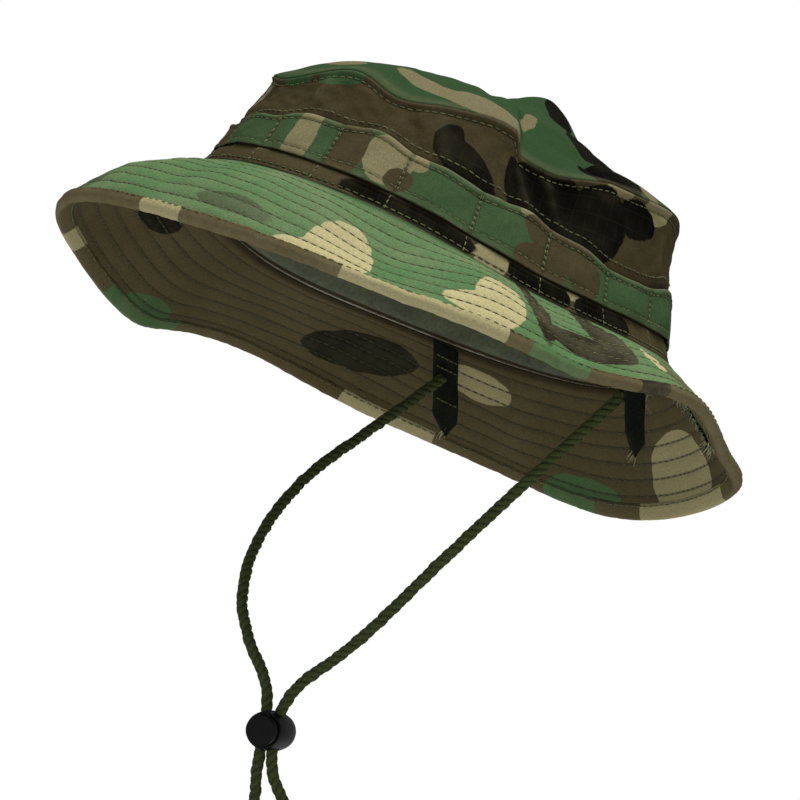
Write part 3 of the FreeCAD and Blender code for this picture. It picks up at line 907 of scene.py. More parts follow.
def lock_point(across, along_bore):
    x, _, z = lock_axes()
    return LOCK_CENTRE + x * across + z * along_bore


def tail_point(across, down):
    hang = Vector((0, math.sin(WORN_LEAN), -math.cos(WORN_LEAN)))
    strands = lock_axes()[0]
    sideways = (strands - hang * strands.dot(hang)).normalized()
    return LOCK_CENTRE + sideways * across + hang * down


def cord_route():
    half = STRAND_PITCH / 2
    return [
        Vector((63.8, 59.5, -16.0)),
        Vector((57.6, 46.2, -46.5)),
        Vector((37.5, 31.0, -95.0)),
        Vector((16.5, 19.0, -143.0)),
        lock_point(half, 15),
        lock_point(half, -14),
        tail_point(6.2, 26.5),
        tail_point(11.5, 39.5),
        tail_point(15.7, 53.0),
        tail_point(15.9, 66.0),
        tail_point(6.6, 75.4),
        tail_point(-6.6, 75.4),
        tail_point(-15.9, 66.0),
        tail_point(-15.7, 53.0),
        tail_point(-10.8, 39.5),
        tail_point(-5.5, 26.5),
        lock_point(-half, -14),
        lock_point(-half, 15),
        Vector((-16.0, -4.0, -153.0)),
        Vector((-31.0, -8.5, -135.0)),
        Vector((-46.0, -2.0, -108.0)),
        Vector((-58.5, 15.0, -77.0)),
        Vector((-61.5, 39.0, -45.0)),
        Vector((-63.8, 59.5, -16.0)),
    ]


def cord_line(route):
    """The cord's smooth line, in metres, read from a spline with the route as its control points."""
    curve = bpy.data.curves.new("cord_line", "CURVE")
    curve.dimensions = "3D"
    curve.resolution_u = 24
    spline = curve.splines.new("NURBS")
    spline.points.add(len(route) - 1)
    for point, place in zip(spline.points, route):
        point.co = (*(place * MM), 1.0)
    spline.order_u = 3
    spline.use_endpoint_u = True
    holder = bpy.data.objects.new("cord_line", curve)
    mesh = bpy.data.meshes.new_from_object(holder)
    line = np.array([v.co for v in mesh.vertices], float)
    bpy.data.objects.remove(holder)
    bpy.data.curves.remove(curve)
    bpy.data.meshes.remove(mesh)
    return line


def even_line(line, step):
    """The same line with points an even distance apart."""
    lengths = np.concatenate([[0], np.cumsum(np.linalg.norm(np.diff(line, axis=0), axis=1))])
    places = np.linspace(0, lengths[-1], int(lengths[-1] / step) + 1)
    return np.stack([np.interp(places, lengths, line[:, k]) for k in range(3)], -1), places


def carried_frames(line):
    """Directions along and across a line, carried without twist."""
    along = np.gradient(line, axis=0)
    along /= np.linalg.norm(along, axis=1, keepdims=True)
    side = np.zeros_like(along)
    side[0] = np.cross(along[0], (0, 1, 0))
    side[0] /= np.linalg.norm(side[0])
    for i in range(1, len(line)):
        carried = side[i - 1] - along[i] * side[i - 1].dot(along[i])
        side[i] = carried / np.linalg.norm(carried)
    return along, side, np.cross(along, side)


def chin_cord_strands():
    line = cord_line(cord_route())
    path, places = even_line(line, 0.9 * MM)
    _, side, other = carried_frames(path)
    radius = CORD_DIAMETER / 2
    strand_radius = 0.5 * radius
    offset = 1.04 * radius - strand_radius
    sides = 9
    verts, faces, raised = [], [], []
    uneven = folds(places * 1000, 0, 7, 41)
    for strand in range(CORD_STRANDS):
        turn = 2 * math.pi * (places * 1000 / CORD_LAY + strand / CORD_STRANDS)
        swell = 1 + 0.12 * folds(places * 1000 + 31 * strand, 0, 5, 42)
        centre = path * 1000 + (side * np.cos(turn)[:, None] + other * np.sin(turn)[:, None]) * offset
        centre = centre + side * (0.12 * uneven)[:, None]
        out = side * np.cos(turn)[:, None] + other * np.sin(turn)[:, None]
        heading = np.gradient(centre, axis=0)
        heading /= np.linalg.norm(heading, axis=1, keepdims=True)
        across = np.cross(heading, out)
        across /= np.linalg.norm(across, axis=1, keepdims=True)
        out = np.cross(across, heading)
        start = len(verts) * len(path) * sides
        ring = []
        back = []
        for k in range(sides):
            angle = 2 * math.pi * k / sides
            thick = (strand_radius * swell)[:, None]
            outwards = out * math.cos(angle) * thick * 0.95
            ring.append(centre + outwards + across * math.sin(angle) * thick * 1.2)
            # Painted light and shade: 1 on a strand's outer back, 0 in the valley against the other strands.
            back.append(np.full(len(path), 0.5 + 0.5 * math.cos(angle)))
        verts.append(np.stack(ring, 1).reshape(-1, 3))
        raised.append(np.stack(back, 1).ravel())
        i, k = np.meshgrid(np.arange(len(path) - 1), np.arange(sides), indexing="ij")
        i, k = i.ravel(), k.ravel()
        after = (k + 1) % sides
        row, next_row = i * sides, (i + 1) * sides
        faces.append(start + np.stack([row + k, next_row + k, next_row + after, row + after], 1))
    cord = new_piece(
        "chin_cord_strands", np.concatenate(verts), np.concatenate(faces)[:, ::-1], None,
        {"raised": np.concatenate(raised)}, cord_cotton, body=None,
    )
    close_ends(cord)
    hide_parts("chin_cord")
    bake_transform(cord)
    return cord


def close_ends(piece):
    """Fill every open edge loop, so that tubes are closed."""
    mesh = bmesh.new()
    mesh.from_mesh(piece.data)
    rims = [e for e in mesh.edges if e.is_boundary]
    bmesh.ops.holes_fill(mesh, edges=rims, sides=0)
    bmesh.ops.recalc_face_normals(mesh, faces=mesh.faces)
    mesh.to_mesh(piece.data)
    mesh.free()


# ---------------------------------------------------------------- cord lock

def rounded_node(name, node_name, body, width):
    """A copy of a moulded CAD part with its sharp edges rounded."""
    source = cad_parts[node_name]
    mesh = source.data.copy()
    piece = bpy.data.objects.new(name, mesh)
    bpy.context.scene.collection.objects.link(piece)
    weld = piece.modifiers.new("weld", "WELD")
    weld.merge_threshold = 0.00001
    bevel = piece.modifiers.new("edges", "BEVEL")
    bevel.width = width
    bevel.segments = 3
    bevel.limit_method = "ANGLE"
    bevel.angle_limit = math.radians(40)
    bevel.harden_normals = False
    bpy.context.view_layer.update()
    shaped = bpy.data.meshes.new_from_object(piece.evaluated_get(bpy.context.evaluated_depsgraph_get()))
    piece.modifiers.clear()
    piece.data = shaped
    shaped.materials.clear()
    shaped.materials.append(plastic)
    for face in shaped.polygons:
        face.use_smooth = True
    shaped.set_sharp_from_angle(angle=math.radians(35))
    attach(piece, body)
    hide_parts(node_name)
    return piece


def coil_spring():
    """The spring's own wire: a copy of the CAD part's, in steel."""
    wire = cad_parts["cord_lock_spring"].data.copy()
    wire.materials.clear()
    wire.materials.append(steel)
    spring = bpy.data.objects.new("lock_coil_spring", wire)
    bpy.context.scene.collection.objects.link(spring)
    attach(spring, "cord_lock")
    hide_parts("cord_lock_spring")
    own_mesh(spring)
    return spring


# ---------------------------------------------------------------- crown

def camo_attributes(fields):
    return {"camo_" + colour: field for colour, field in fields.items()}


def crown_side_cloth():
    def surface(height, out):
        return wall(THETA, height, out)

    points, share = sheet_ring(surface, -SIDE_TUCK, SEAM_HEIGHT, 64, FABRIC)
    height = share * SEAM_HEIGHT
    u, v = np.broadcast_arrays(THETA[None, :], height[:, None])
    patches = WALL_PATCHES + scattered(7, 14, 26, 50, ("black", "tan", "green", "black"), 11, 13)
    fields = camo_attributes(patch_fields(patches, u, v))
    ridge = hump(v, 49.6, 0.8)
    # Painted shade: darker in the groove under the crown's upper seam and just above the loop band's edge.
    painted_shade = 0.45 * hump(v, GROOVE, 0.6) + 0.4 * hump(v - band_top(u), 0.5, 1.2)
    extra = {"wear": 0.5 * ridge + 0.35 * np.clip(wall_relief(u, v) / 2, 0, 1), "painted_shade": np.clip(painted_shade, 0, 0.8)}
    piece = ring_piece("crown_side_cloth", points, height, camo_crown, fields, extra)
    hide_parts("crown_side_panel")


def crown_top_cloth():
    """A cap of two faces that close at the seam and in the middle."""
    shares = np.concatenate([[1.0, 0.992], np.linspace(0.98, 0.0, 70)[:-1]])
    upper = np.stack([dome(THETA, s, 0.4 if s > 0.99 else 0.6) for s in shares])
    lower = np.stack([dome(THETA, s * 0.995, -FABRIC) for s in shares])
    rows, columns = upper.shape[:2]
    pole_up = dome(np.array(0.0), np.array(0.0), 0.6)
    pole_down = dome(np.array(0.0), np.array(0.0), -FABRIC)
    verts = np.concatenate([upper.reshape(-1, 3), lower.reshape(-1, 3), [pole_up, pole_down]])
    grid = ring_faces(rows, columns, False)[0]
    offset = rows * columns
    j = np.arange(columns)
    after = (j + 1) % columns
    rim = np.stack([j, after, offset + after, offset + j], 1)
    last = (rows - 1) * columns
    pole = 2 * offset
    fans_up = np.stack([last + j, last + after, np.full(columns, pole)], 1)
    fans_down = np.stack([offset + last + j, offset + last + after, np.full(columns, pole + 1)], 1)
    quads = np.concatenate([grid, grid[:, ::-1] + offset, rim[:, ::-1]])
    triangles = np.concatenate([fans_up, fans_down[:, ::-1]])
    piece = mixed_mesh("crown_top_cloth", verts, quads, triangles, camo_top)
    x, y = verts[:, 0], verts[:, 1]
    draw = np.random.default_rng(13)
    hidden = []
    for _ in range(7):
        place = (draw.uniform(-70, -10), draw.uniform(-60, 70))
        colour = ("brown", "tan", "black")[draw.integers(3)]
        hidden.append((colour, *place, draw.uniform(9, 20), draw.uniform(5, 10), draw.uniform(0, 180)))
    fields = camo_attributes(patch_fields(TOP_PATCHES + hidden, x, y, round_hat=False))
    far = np.hypot(x / (HALF_WIDTH - 17), y / (HALF_LENGTH - 15))
    fields["wear"] = 0.7 * hump(far, 0.98, 0.03)
    fields["painted_shade"] = np.zeros(len(verts))
    for key, values in fields.items():
        made = piece.data.attributes.new(key, "FLOAT", "POINT")
        made.data.foreach_set("value", values.astype(np.float32))
    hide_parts("crown_top_panel")


def mixed_mesh(name, verts, quads, triangles, material):
    """A piece of quads and triangles whose cloth lies flat in x and y."""
    mesh = bpy.data.meshes.new(name)
    verts = np.asarray(verts, float)
    mesh.from_pydata((verts * MM).tolist(), [], quads.tolist() + triangles.tolist())
    mesh.validate()
    layer = mesh.uv_layers.new(name="cloth")
    corners = np.zeros(len(mesh.loops), int)
    mesh.loops.foreach_get("vertex_index", corners)
    layer.data.foreach_set("uv", (verts[corners][:, :2] * MM).ravel())
    mesh.polygons.foreach_set("use_smooth", np.ones(len(mesh.polygons), bool))
    mesh.materials.append(material)
    piece = bpy.data.objects.new(name, mesh)
    bpy.context.scene.collection.objects.link(piece)
    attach(piece, "hat")
    return piece


# ---------------------------------------------------------------- bands

def loop_phase(theta):
    """Place within a loop of the band, from 0 to 1, and the loop's number."""
    turns = (np.asarray(theta, float) - FIRST_DIVIDER) % 360 / (360 / DIVIDER_COUNT)
    return turns % 1.0, np.floor(turns).astype(int)


LOOP_SLACK = np.random.default_rng(3).uniform(1.3, 2.6, DIVIDER_COUNT)
LOOP_LIFT = np.random.default_rng(8).uniform(0.2, 1.5, DIVIDER_COUNT)


def band_top(theta):
    phase, number = loop_phase(theta)
    between = np.sin(np.pi * phase) ** 2
    return BAND_HIGH + waves(theta, BAND_EDGE_WAVES) + LOOP_LIFT[number % DIVIDER_COUNT] * between


def band_out(theta, share):
    """How far the loop band stands off the crown, up its height from 0 to 1."""
    phase, number = loop_phase(theta)
    slack = LOOP_SLACK[number % DIVIDER_COUNT] * np.sin(np.pi * phase) ** 1.3
    soft = 0.35 * folds(theta * DEGREE, share * 19, 13, 31) * np.sin(np.pi * phase) ** 0.5
    hem = 0.35 * (smooth((0.17 - share) / 0.03) + smooth((share - 0.84) / 0.03))
    gutter = -0.4 * (hump(share, LOWER_ROW, 0.02) + hump(share, UPPER_ROW, 0.02))
    tack = -0.5 * hump(np.minimum(phase, 1 - phase), 0, 0.025)
    flat_front = 1 - 0.75 * hump(apart(theta, -25), 0, 35)
    belly = slack * flat_front * (0.55 + 0.45 * np.sin(np.pi * share))
    return 0.8 + 0.8 * flat_front + belly + soft + hem + gutter + tack


def band_surface(theta, share, out=0.0):
    height = BAND_LOW + (band_top(theta) - BAND_LOW) * share
    return wall(theta, height, band_out(theta, share) + out)


def loop_band_cloth():
    def surface(share, out):
        return band_surface(THETA, np.full(THETA.shape, share), out)

    points, share = sheet_ring(surface, 0.0, 1.0, 34, 0.7)
    u = np.broadcast_to(THETA[None, :], points.shape[:2])
    v = BAND_LOW + (band_top(u) - BAND_LOW) * share[:, None]
    patches = BAND_PATCHES + scattered(19, 10, 8, 28, ("brown", "tan", "black", "tan"), 9, 11)
    fields = camo_attributes(patch_fields(patches, u, v))
    edge = np.broadcast_to(np.minimum(share, 1 - share)[:, None], u.shape)
    phase = loop_phase(u)[0]
    near = np.minimum(phase, 1 - phase)
    extra = {
        "wear": np.clip(hump(edge, 0, 0.05) + 0.15, 0, 1),
        # Painted shade: darker at the tacked dividers and along the lower row of stitches.
        "painted_shade": np.clip(0.4 * hump(near, 0, 0.03) + 0.35 * hump(edge, LOWER_ROW, 0.03), 0, 0.8),
    }
    piece = ring_piece("loop_band_cloth", points, v[:, 0], camo_band, fields, extra)
    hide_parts("loop_band")


def strip_surface(theta, share, out=0.0):
    height = STRIP_LOW + (STRIP_HIGH - STRIP_LOW) * share
    roll = 0.5 * np.sin(np.pi * share) + 0.25 * folds(theta * DEGREE, share * 7, 17, 33)
    return wall(theta, height, 1.0 + roll + out)


def base_strip_cloth():
    def surface(share, out):
        return strip_surface(THETA, np.full(THETA.shape, share), out)

    points, share = sheet_ring(surface, 0.0, 1.0, 16, 0.8)
    u = np.broadcast_to(THETA[None, :], points.shape[:2])
    v = np.broadcast_to(STRIP_LOW + (STRIP_HIGH - STRIP_LOW) * share[:, None], u.shape)
    patches = STRIP_PATCHES + scattered(23, 10, 2, 7, ("black", "tan", "green"), 8, 12)
    fields = camo_attributes(patch_fields(patches, u, v))
    edge = np.broadcast_to(np.minimum(share, 1 - share)[:, None], u.shape)
    extra = {
        "wear": 0.6 * hump(edge, 0, 0.08),
        # Painted shade: darker along the strip's row of stitches.
        "painted_shade": np.broadcast_to(0.45 * hump(share[:, None], STRIP_ROW, 0.06), u.shape),
    }
    piece = ring_piece("base_strip_cloth", points, v[:, 0], camo_strip, fields, extra)
    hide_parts("base_strip")


def crown_stitches():
    rows = (
        ("crown_seam_stitches", "crown_top_seam_thread", lambda t, o: wall(t, SEAM_HEIGHT - HEM, o)),
        ("crown_guide_stitches", "crown_guide_thread", lambda t, o: wall(t, band_top(t) + GUIDE_GAP, o)),
        ("loop_band_upper_stitches", "loop_band_upper_thread", lambda t, o: band_surface(t, UPPER_ROW, o)),
        ("loop_band_lower_stitches", "loop_band_lower_thread", lambda t, o: band_surface(t, LOWER_ROW, o)),
        ("base_strip_stitches", "base_strip_thread", lambda t, o: strip_surface(t, STRIP_ROW, o)),
    )
    for name, node_name, surface in rows:
        piece = stitches(name, [run_round(surface)], pitch=3.0, gap=0.6, width=0.48)
        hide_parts(node_name)


def upright_run(theta, low, high, surface):
    """A run of stitches up the crown at one direction."""
    places = np.linspace(low, high, 40)
    points = surface(np.full(40, theta), places, 0.0)
    lifted = surface(np.full(40, theta), places, 0.5)
    return points, lifted - points


def divider_stitches():
    runs = []
    for i in range(DIVIDER_COUNT):
        theta = FIRST_DIVIDER + 360 * i / DIVIDER_COUNT
        for shift in (-0.22, 0.22):
            runs.append(upright_run(theta + shift, 0.1, 0.93, band_surface))
        runs.append(upright_run(theta - 0.3, 0.06, 0.98, strip_surface))
    piece = stitches("divider_stitches", runs, pitch=2.2, gap=0.35, width=0.52)
    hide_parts("loop_divider_threads")


def back_seam_stitches():
    runs = []
    for shift in (-1.8, 1.8):
        runs.append(upright_run(180 + shift, float(band_top(np.array(180.0))) + 5, SEAM_HEIGHT - 4, wall))
    piece = stitches("crown_back_stitches", runs, pitch=3.0)
    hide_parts("crown_back_seam_thread")


def sweatband():
    def surface(height, out):
        return wall(THETA, height, -SWEATBAND_INSET + out)

    points, share = sheet_ring(surface, 0.8, SWEATBAND_HIGH, 22, FABRIC)
    piece = ring_piece("sweatband_cloth", points, share * SWEATBAND_HIGH, lining)
    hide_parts("sweatband")
    inner = -SWEATBAND_INSET - FABRIC

    def stitched(theta, out):
        return wall(theta, SWEATBAND_HIGH - HEM, inner - out)

    rows = stitches("sweatband_stitches", [run_round(stitched)], pitch=3.2)
    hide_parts("sweatband_thread")


LABEL_HALF = 11.0           # degrees each side of the back
LABEL_LOW, LABEL_HIGH = 6.0, 24.0
LABEL_HEM = 1.5             # its stitches lie this far inside its upper and lower edges


def size_label():
    """A small blank woven label, a little puffed between its stitched edges."""
    columns, rows = 40, 22
    theta = np.linspace(180 - LABEL_HALF, 180 + LABEL_HALF, columns)
    height = np.linspace(LABEL_LOW, LABEL_HIGH, rows)
    t, h = np.meshgrid(theta, height)
    puff = 0.5 * np.sin(np.pi * (t - theta[0]) / (2 * LABEL_HALF)) * np.sin(np.pi * (h - LABEL_LOW) / (LABEL_HIGH - LABEL_LOW))
    base = -SWEATBAND_INSET - FABRIC - 0.7
    front = wall(t, h, base - 0.4 - puff)
    back = wall(t, h, base)
    verts = np.concatenate([front.reshape(-1, 3), back.reshape(-1, 3)])
    piece = new_piece("size_label_cloth", verts, two_faces(rows, columns), None, None, label_weave)
    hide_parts("size_label")

    def on_label(theta, height, out):
        return wall(theta, height, base - 0.5 - out)

    side = LABEL_HALF - 1.0
    low, high = LABEL_LOW + LABEL_HEM, LABEL_HIGH - LABEL_HEM
    runs = [upright_run(180 + shift, low, high, on_label) for shift in (-side, side)]
    for height in (low, high):
        around = np.linspace(180 - side, 180 + side, 40)
        points = on_label(around, height, 0.0)
        runs.append((points, on_label(around, height, 0.5) - points))
    rows_piece = stitches("size_label_stitches", runs, pitch=2.4)
    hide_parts("size_label_thread")


# ---------------------------------------------------------------- brim

def brim_section(low, high, inner, outer, rows, relief_up=0.0, relief_down=0.0):
    """A closed layer of the brim between two heights, quilted by its rows of stitches."""
    steps = np.linspace(inner, outer, rows)
    upper = [(a, high + relief_up * quilting(a)) for a in steps]
    lower = [(a, low - relief_down * quilting(a)) for a in steps[::-1]]
    section = upper + lower
    points = np.stack([brim(THETA, a, above) for a, above in section])
    return points, np.array([a for a, _ in section])


def brim_layer(name, node_name, material, low, high, patches, rows, up=0.0, down=0.0):
    points, along = brim_section(low, high, -SEAM_TUCK, BRIM_WIDTH - 1.2, rows, up, down)
    u = np.broadcast_to(THETA[None, :], points.shape[:2])
    v = np.broadcast_to(along[:, None], u.shape)
    fields, extra = {}, {}
    if patches is not None:
        fields = camo_attributes(patch_fields(patches, u, v, spacing=DEGREE * 1.25))
        # Painted shade: darker where the brim goes in under the crown.
        near_crown = hump(v, 0, 2.0)
        extra = {"wear": 0.12 * quilting(v), "painted_shade": 0.6 * near_crown}
    piece = ring_piece(name, points, along, material, fields, extra, around=360 * DEGREE * 1.3)
    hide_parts(node_name)


def brim_layers():
    top = -0.5
    under = -1.9
    hidden_top = scattered(29, 16, 4, 50, ("tan", "brown", "black", "tan", "brown"), 15, 17)
    brim_layer("brim_top_cloth", "brim_top_panel", camo_brim,
               top, 0.0, BRIM_PATCHES + hidden_top, 80, up=0.55)
    brim_layer("brim_stiffener", "brim_interlining", stiffener,
               under + 0.05, top - 0.05, None, 10)
    brim_layer("brim_under_cloth", "brim_under_panel", camo_under,
               -BRIM_THICKNESS, under, UNDER_PATCHES, 80, down=0.45)


def brim_stitches():
    upper = [run_round(lambda t, out, a=a: brim(t, a, out)) for a in row_places()]
    lower = [run_round(lambda t, out, a=a: brim(t, a, -BRIM_THICKNESS - out)) for a in row_places()]
    for name, node_name, runs, yarn in (
        ("brim_top_stitches", "brim_row_top_threads", upper, thread),
        ("brim_under_stitches", "brim_row_under_threads", lower, under_thread),
    ):
        piece = stitches(name, runs, pitch=3.4, gap=0.7, width=0.48, material=yarn)
        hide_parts(node_name)


def binding_tape():
    """A bias tape folded over the edge: narrow above, wide below, and swollen where it turns."""
    front = BRIM_WIDTH - BINDING_FRONT
    back = BRIM_WIDTH - BINDING_WIDTH
    fold = BRIM_WIDTH - BINDING_FOLD
    section = [(front, 0.15), (front + 0.25, 0.75)]
    for s in (0.3, 0.6, 0.9):
        section.append((front + s * (BINDING_FRONT - 1.6), BINDING_OFF + 0.25 * math.sin(math.pi * s)))
    middle = -BRIM_THICKNESS / 2
    for k in range(9):
        turn = math.pi * (0.5 - k / 8)
        rise = (BRIM_THICKNESS / 2 + BINDING_OFF) * math.sin(turn)
        section.append((fold + 1.6 * math.cos(turn), middle + rise))
    floor = -BRIM_THICKNESS - BINDING_OFF
    for s in (0.25, 0.5, 0.75):
        section.append((fold - s * (BINDING_WIDTH - 1.8), floor - 0.1 * math.sin(math.pi * s)))
    section += [(back + 0.2, floor + 0.2), (back, -BRIM_THICKNESS - 0.15)]
    section += [(back + 1.5, -BRIM_THICKNESS + 0.1), (BRIM_WIDTH - 1.5, middle), (front + 1.0, 0.0)]
    pull = 0.12 * folds(THETA * DEGREE * 1.6, 0, 5, 51) + 0.15 * folds(THETA * DEGREE * 1.6, 0, 19, 52)
    points = np.stack([brim(THETA, a, h + pull * (1 if i < 19 else 0)) for i, (a, h) in enumerate(section)])
    along = np.linspace(0, 2 * BINDING_WIDTH + 6, len(section))
    u = np.broadcast_to(THETA[None, :], points.shape[:2])
    v = np.zeros(u.shape)
    fields = camo_attributes(patch_fields(BINDING_PATCHES, u, v, spacing=DEGREE * 1.6))
    index = np.arange(len(section))[:, None]
    wear = np.broadcast_to(0.5 * hump(index, 9, 4.0), u.shape)
    # Painted shade: darker along both edges of the tape, where it meets the brim.
    painted_shade = np.broadcast_to(0.55 * (hump(index, 18, 1.0) + hump(index, 0, 1.0)), u.shape)
    extra = {"wear": wear, "painted_shade": np.clip(painted_shade, 0, 0.8)}
    around = 360 * DEGREE * 1.6
    piece = ring_piece("brim_binding_tape", points, along, camo_binding, fields, extra, around=around)
    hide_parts("brim_binding")
    upper = run_round(lambda t, out: brim(t, front + 0.9, 1.0 + out), np.linspace(0, 360, 900))
    lower = run_round(lambda t, out: brim(t, back + 1.0, floor - 0.05 - out), np.linspace(0, 360, 900))
    rows = stitches("binding_stitches", [upper, lower], pitch=3.2, gap=0.7, width=0.55)
    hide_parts("brim_binding_thread")


# ---------------------------------------------------------------- tabs and frayed edge

TAB_ANGLE = 125.0
TAB_TWIST = 20.0            # each tab's outer face is turned this far towards the front
TAB_WIDTH = 12.0
TAB_THICKNESS = 2.0
TAB_TOP = -2.8
TAB_SHOULDER = -29.0
TAB_TIP = -36.0
TAB_INSET = 3.2
TAB_STITCH_HEIGHTS = (-8.0, -12.0, -24.0)


def tab_frame(side):
    """A tab's top middle on its outer face, with its inward and sideways directions."""
    theta = np.array(float(side * TAB_ANGLE))
    x, y = oval(theta)
    ox, oy = outward(theta)
    place = np.array((float(x - ox * TAB_INSET), float(y - oy * TAB_INSET), 0.0))
    turn = -side * math.radians(TAB_TWIST)
    c, s = math.cos(turn), math.sin(turn)
    out = np.array((float(ox * c - oy * s), float(ox * s + oy * c), 0.0))
    across = np.array((-out[1], out[0], 0.0)) * side
    return place, -out, across


def tab_hang(height):
    """From a tab's top middle to a height below it: the tab hangs straight down while worn."""
    return np.array((0.0, math.tan(WORN_LEAN) * (TAB_TOP - height), height))


def cord_tab(name, node_name, side):
    """A strap folded from cloth: swollen edges, a soft middle channel, a pointed tip and a slight wave."""
    place, inward, across = tab_frame(side)
    rows, columns = 46, 15
    verts = []
    for face in (0, 1):
        for r in range(rows):
            down = r / (rows - 1)
            height = TAB_TOP + (TAB_TIP - TAB_TOP) * down
            taper = min(1.0, (height - TAB_TIP) / (TAB_SHOULDER - TAB_TIP) + 0.12)
            for c in range(columns):
                s = 2 * c / (columns - 1) - 1
                edge = 1 - abs(s) ** 6
                body = 0.72 + 0.28 * math.sin(math.pi * abs(s)) ** 2
                thick = TAB_THICKNESS * (0.15 + 0.85 * edge * body)
                depth = TAB_THICKNESS / 2 + (0.5 if face else -0.5) * thick
                wave = 0.5 * math.sin(5.5 * down + 1.2 * side) * down + 0.25 * math.sin(13 * down)
                ragged = 0.5 * math.sin(9 * s + 3) * (1 if down > 0.97 else 0)
                sideways = across * (s * taper * TAB_WIDTH / 2)
                verts.append(place + inward * (depth + wave) + sideways + tab_hang(height + ragged))
    piece = new_piece(name, verts, two_faces(rows, columns), None, None, tab_web)
    close_ends(piece)
    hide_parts(node_name)


def tab_stitches():
    runs = []
    for side in (1, -1):
        place, inward, across = tab_frame(side)
        face = place + inward * (TAB_THICKNESS + 0.3)
        for height in TAB_STITCH_HEIGHTS:
            steps = np.linspace(-TAB_WIDTH / 2 + 1, TAB_WIDTH / 2 - 1, 12)
            points = np.array([face + across * s + tab_hang(height) for s in steps])
            runs.append((points, np.broadcast_to(inward, points.shape).copy()))
    piece = stitches("tab_stitches", runs, pitch=1.8, gap=0.3, width=0.6)
    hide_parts("cord_tab_stitches")


def loose_thread(start, heading, length, seed, thick=0.28):
    """One thin wandering thread: ring vertices of a 5-sided tube and its faces."""
    draw = np.random.default_rng(seed)
    steps = 9
    points = [np.array(start, float)]
    way = np.array(heading, float)
    for _ in range(steps):
        way = way + draw.uniform(-0.35, 0.35, 3)
        way[2] -= 0.12
        way /= np.linalg.norm(way)
        points.append(points[-1] + way * length / steps)
    points = np.array(points)
    _, side, other = carried_frames(points)
    rings = []
    for k in range(5):
        turn = 2 * math.pi * k / 5
        radius = thick * np.linspace(1, 0.4, len(points))[:, None] / 2
        rings.append(points + side * math.cos(turn) * radius + other * math.sin(turn) * radius)
    verts = np.stack(rings, 1).reshape(-1, 3)
    i, k = np.meshgrid(np.arange(len(points) - 1), np.arange(5), indexing="ij")
    i, k = i.ravel(), k.ravel()
    after = (k + 1) % 5
    faces = np.stack([i * 5 + k, i * 5 + after, (i + 1) * 5 + after, (i + 1) * 5 + k], 1)
    return verts, faces


def threads_piece(name, threads, material):
    verts, faces, count = [], [], 0
    for v, f in threads:
        verts.append(v)
        faces.append(f + count)
        count += len(v)
    verts, faces = np.concatenate(verts), np.concatenate(faces)
    shade = np.linspace(0, 1, len(verts)) % 0.37 / 0.37
    piece = new_piece(name, verts, faces, None, {"shade": shade}, material)
    close_ends(piece)
    return piece


RAW_FROM, RAW_TO = 131, 159  # degrees between which the brim's raw edge hangs inside the opening
FRAY_FROM = (137.0, 2.0)    # the brim's own seam, under its cloth: degrees, and distance along the brim
FRAY_TO = (150.0, 36.0)
FRAY_WIDTH = 5.5
FRAY_LIFT = 1.3             # its edges curl this far off the cloth


def fray_point(share, across, depth):
    """A point on the frayed seam: along it from 0 to 1, across it from -1 to 1, and off the cloth."""
    theta = FRAY_FROM[0] + (FRAY_TO[0] - FRAY_FROM[0]) * share
    along = FRAY_FROM[1] + (FRAY_TO[1] - FRAY_FROM[1]) * share
    sideways = across * FRAY_WIDTH / 2 / DEGREE
    return brim(theta + sideways, along, -BRIM_THICKNESS - depth)


def frayed_seam():
    """The raw edges of the brim's own seam, which stand up ragged under the brim."""
    rows, columns = 60, 9
    share, across = np.meshgrid(np.linspace(0, 1, rows), np.linspace(-1, 1, columns), indexing="ij")
    ragged = 1 + 0.3 * folds(share * 36, across * 9, 4, 81) + 0.2 * folds(share * 36, 0, 1.7, 82)
    across = across * np.clip(ragged, 0.4, 1.5) * smooth(share / 0.08) * smooth((1 - share) / 0.08)
    curl = FRAY_LIFT * across ** 2 + 0.3 * folds(share * 36, across * 3, 5, 83)
    near = fray_point(share, across, 0.7 + np.clip(curl, 0, 3))
    far = fray_point(share, across, 1.2 + np.clip(curl, 0, 3))
    verts = np.concatenate([near.reshape(-1, 3), far.reshape(-1, 3)])
    return verts, two_faces(rows, columns, False)


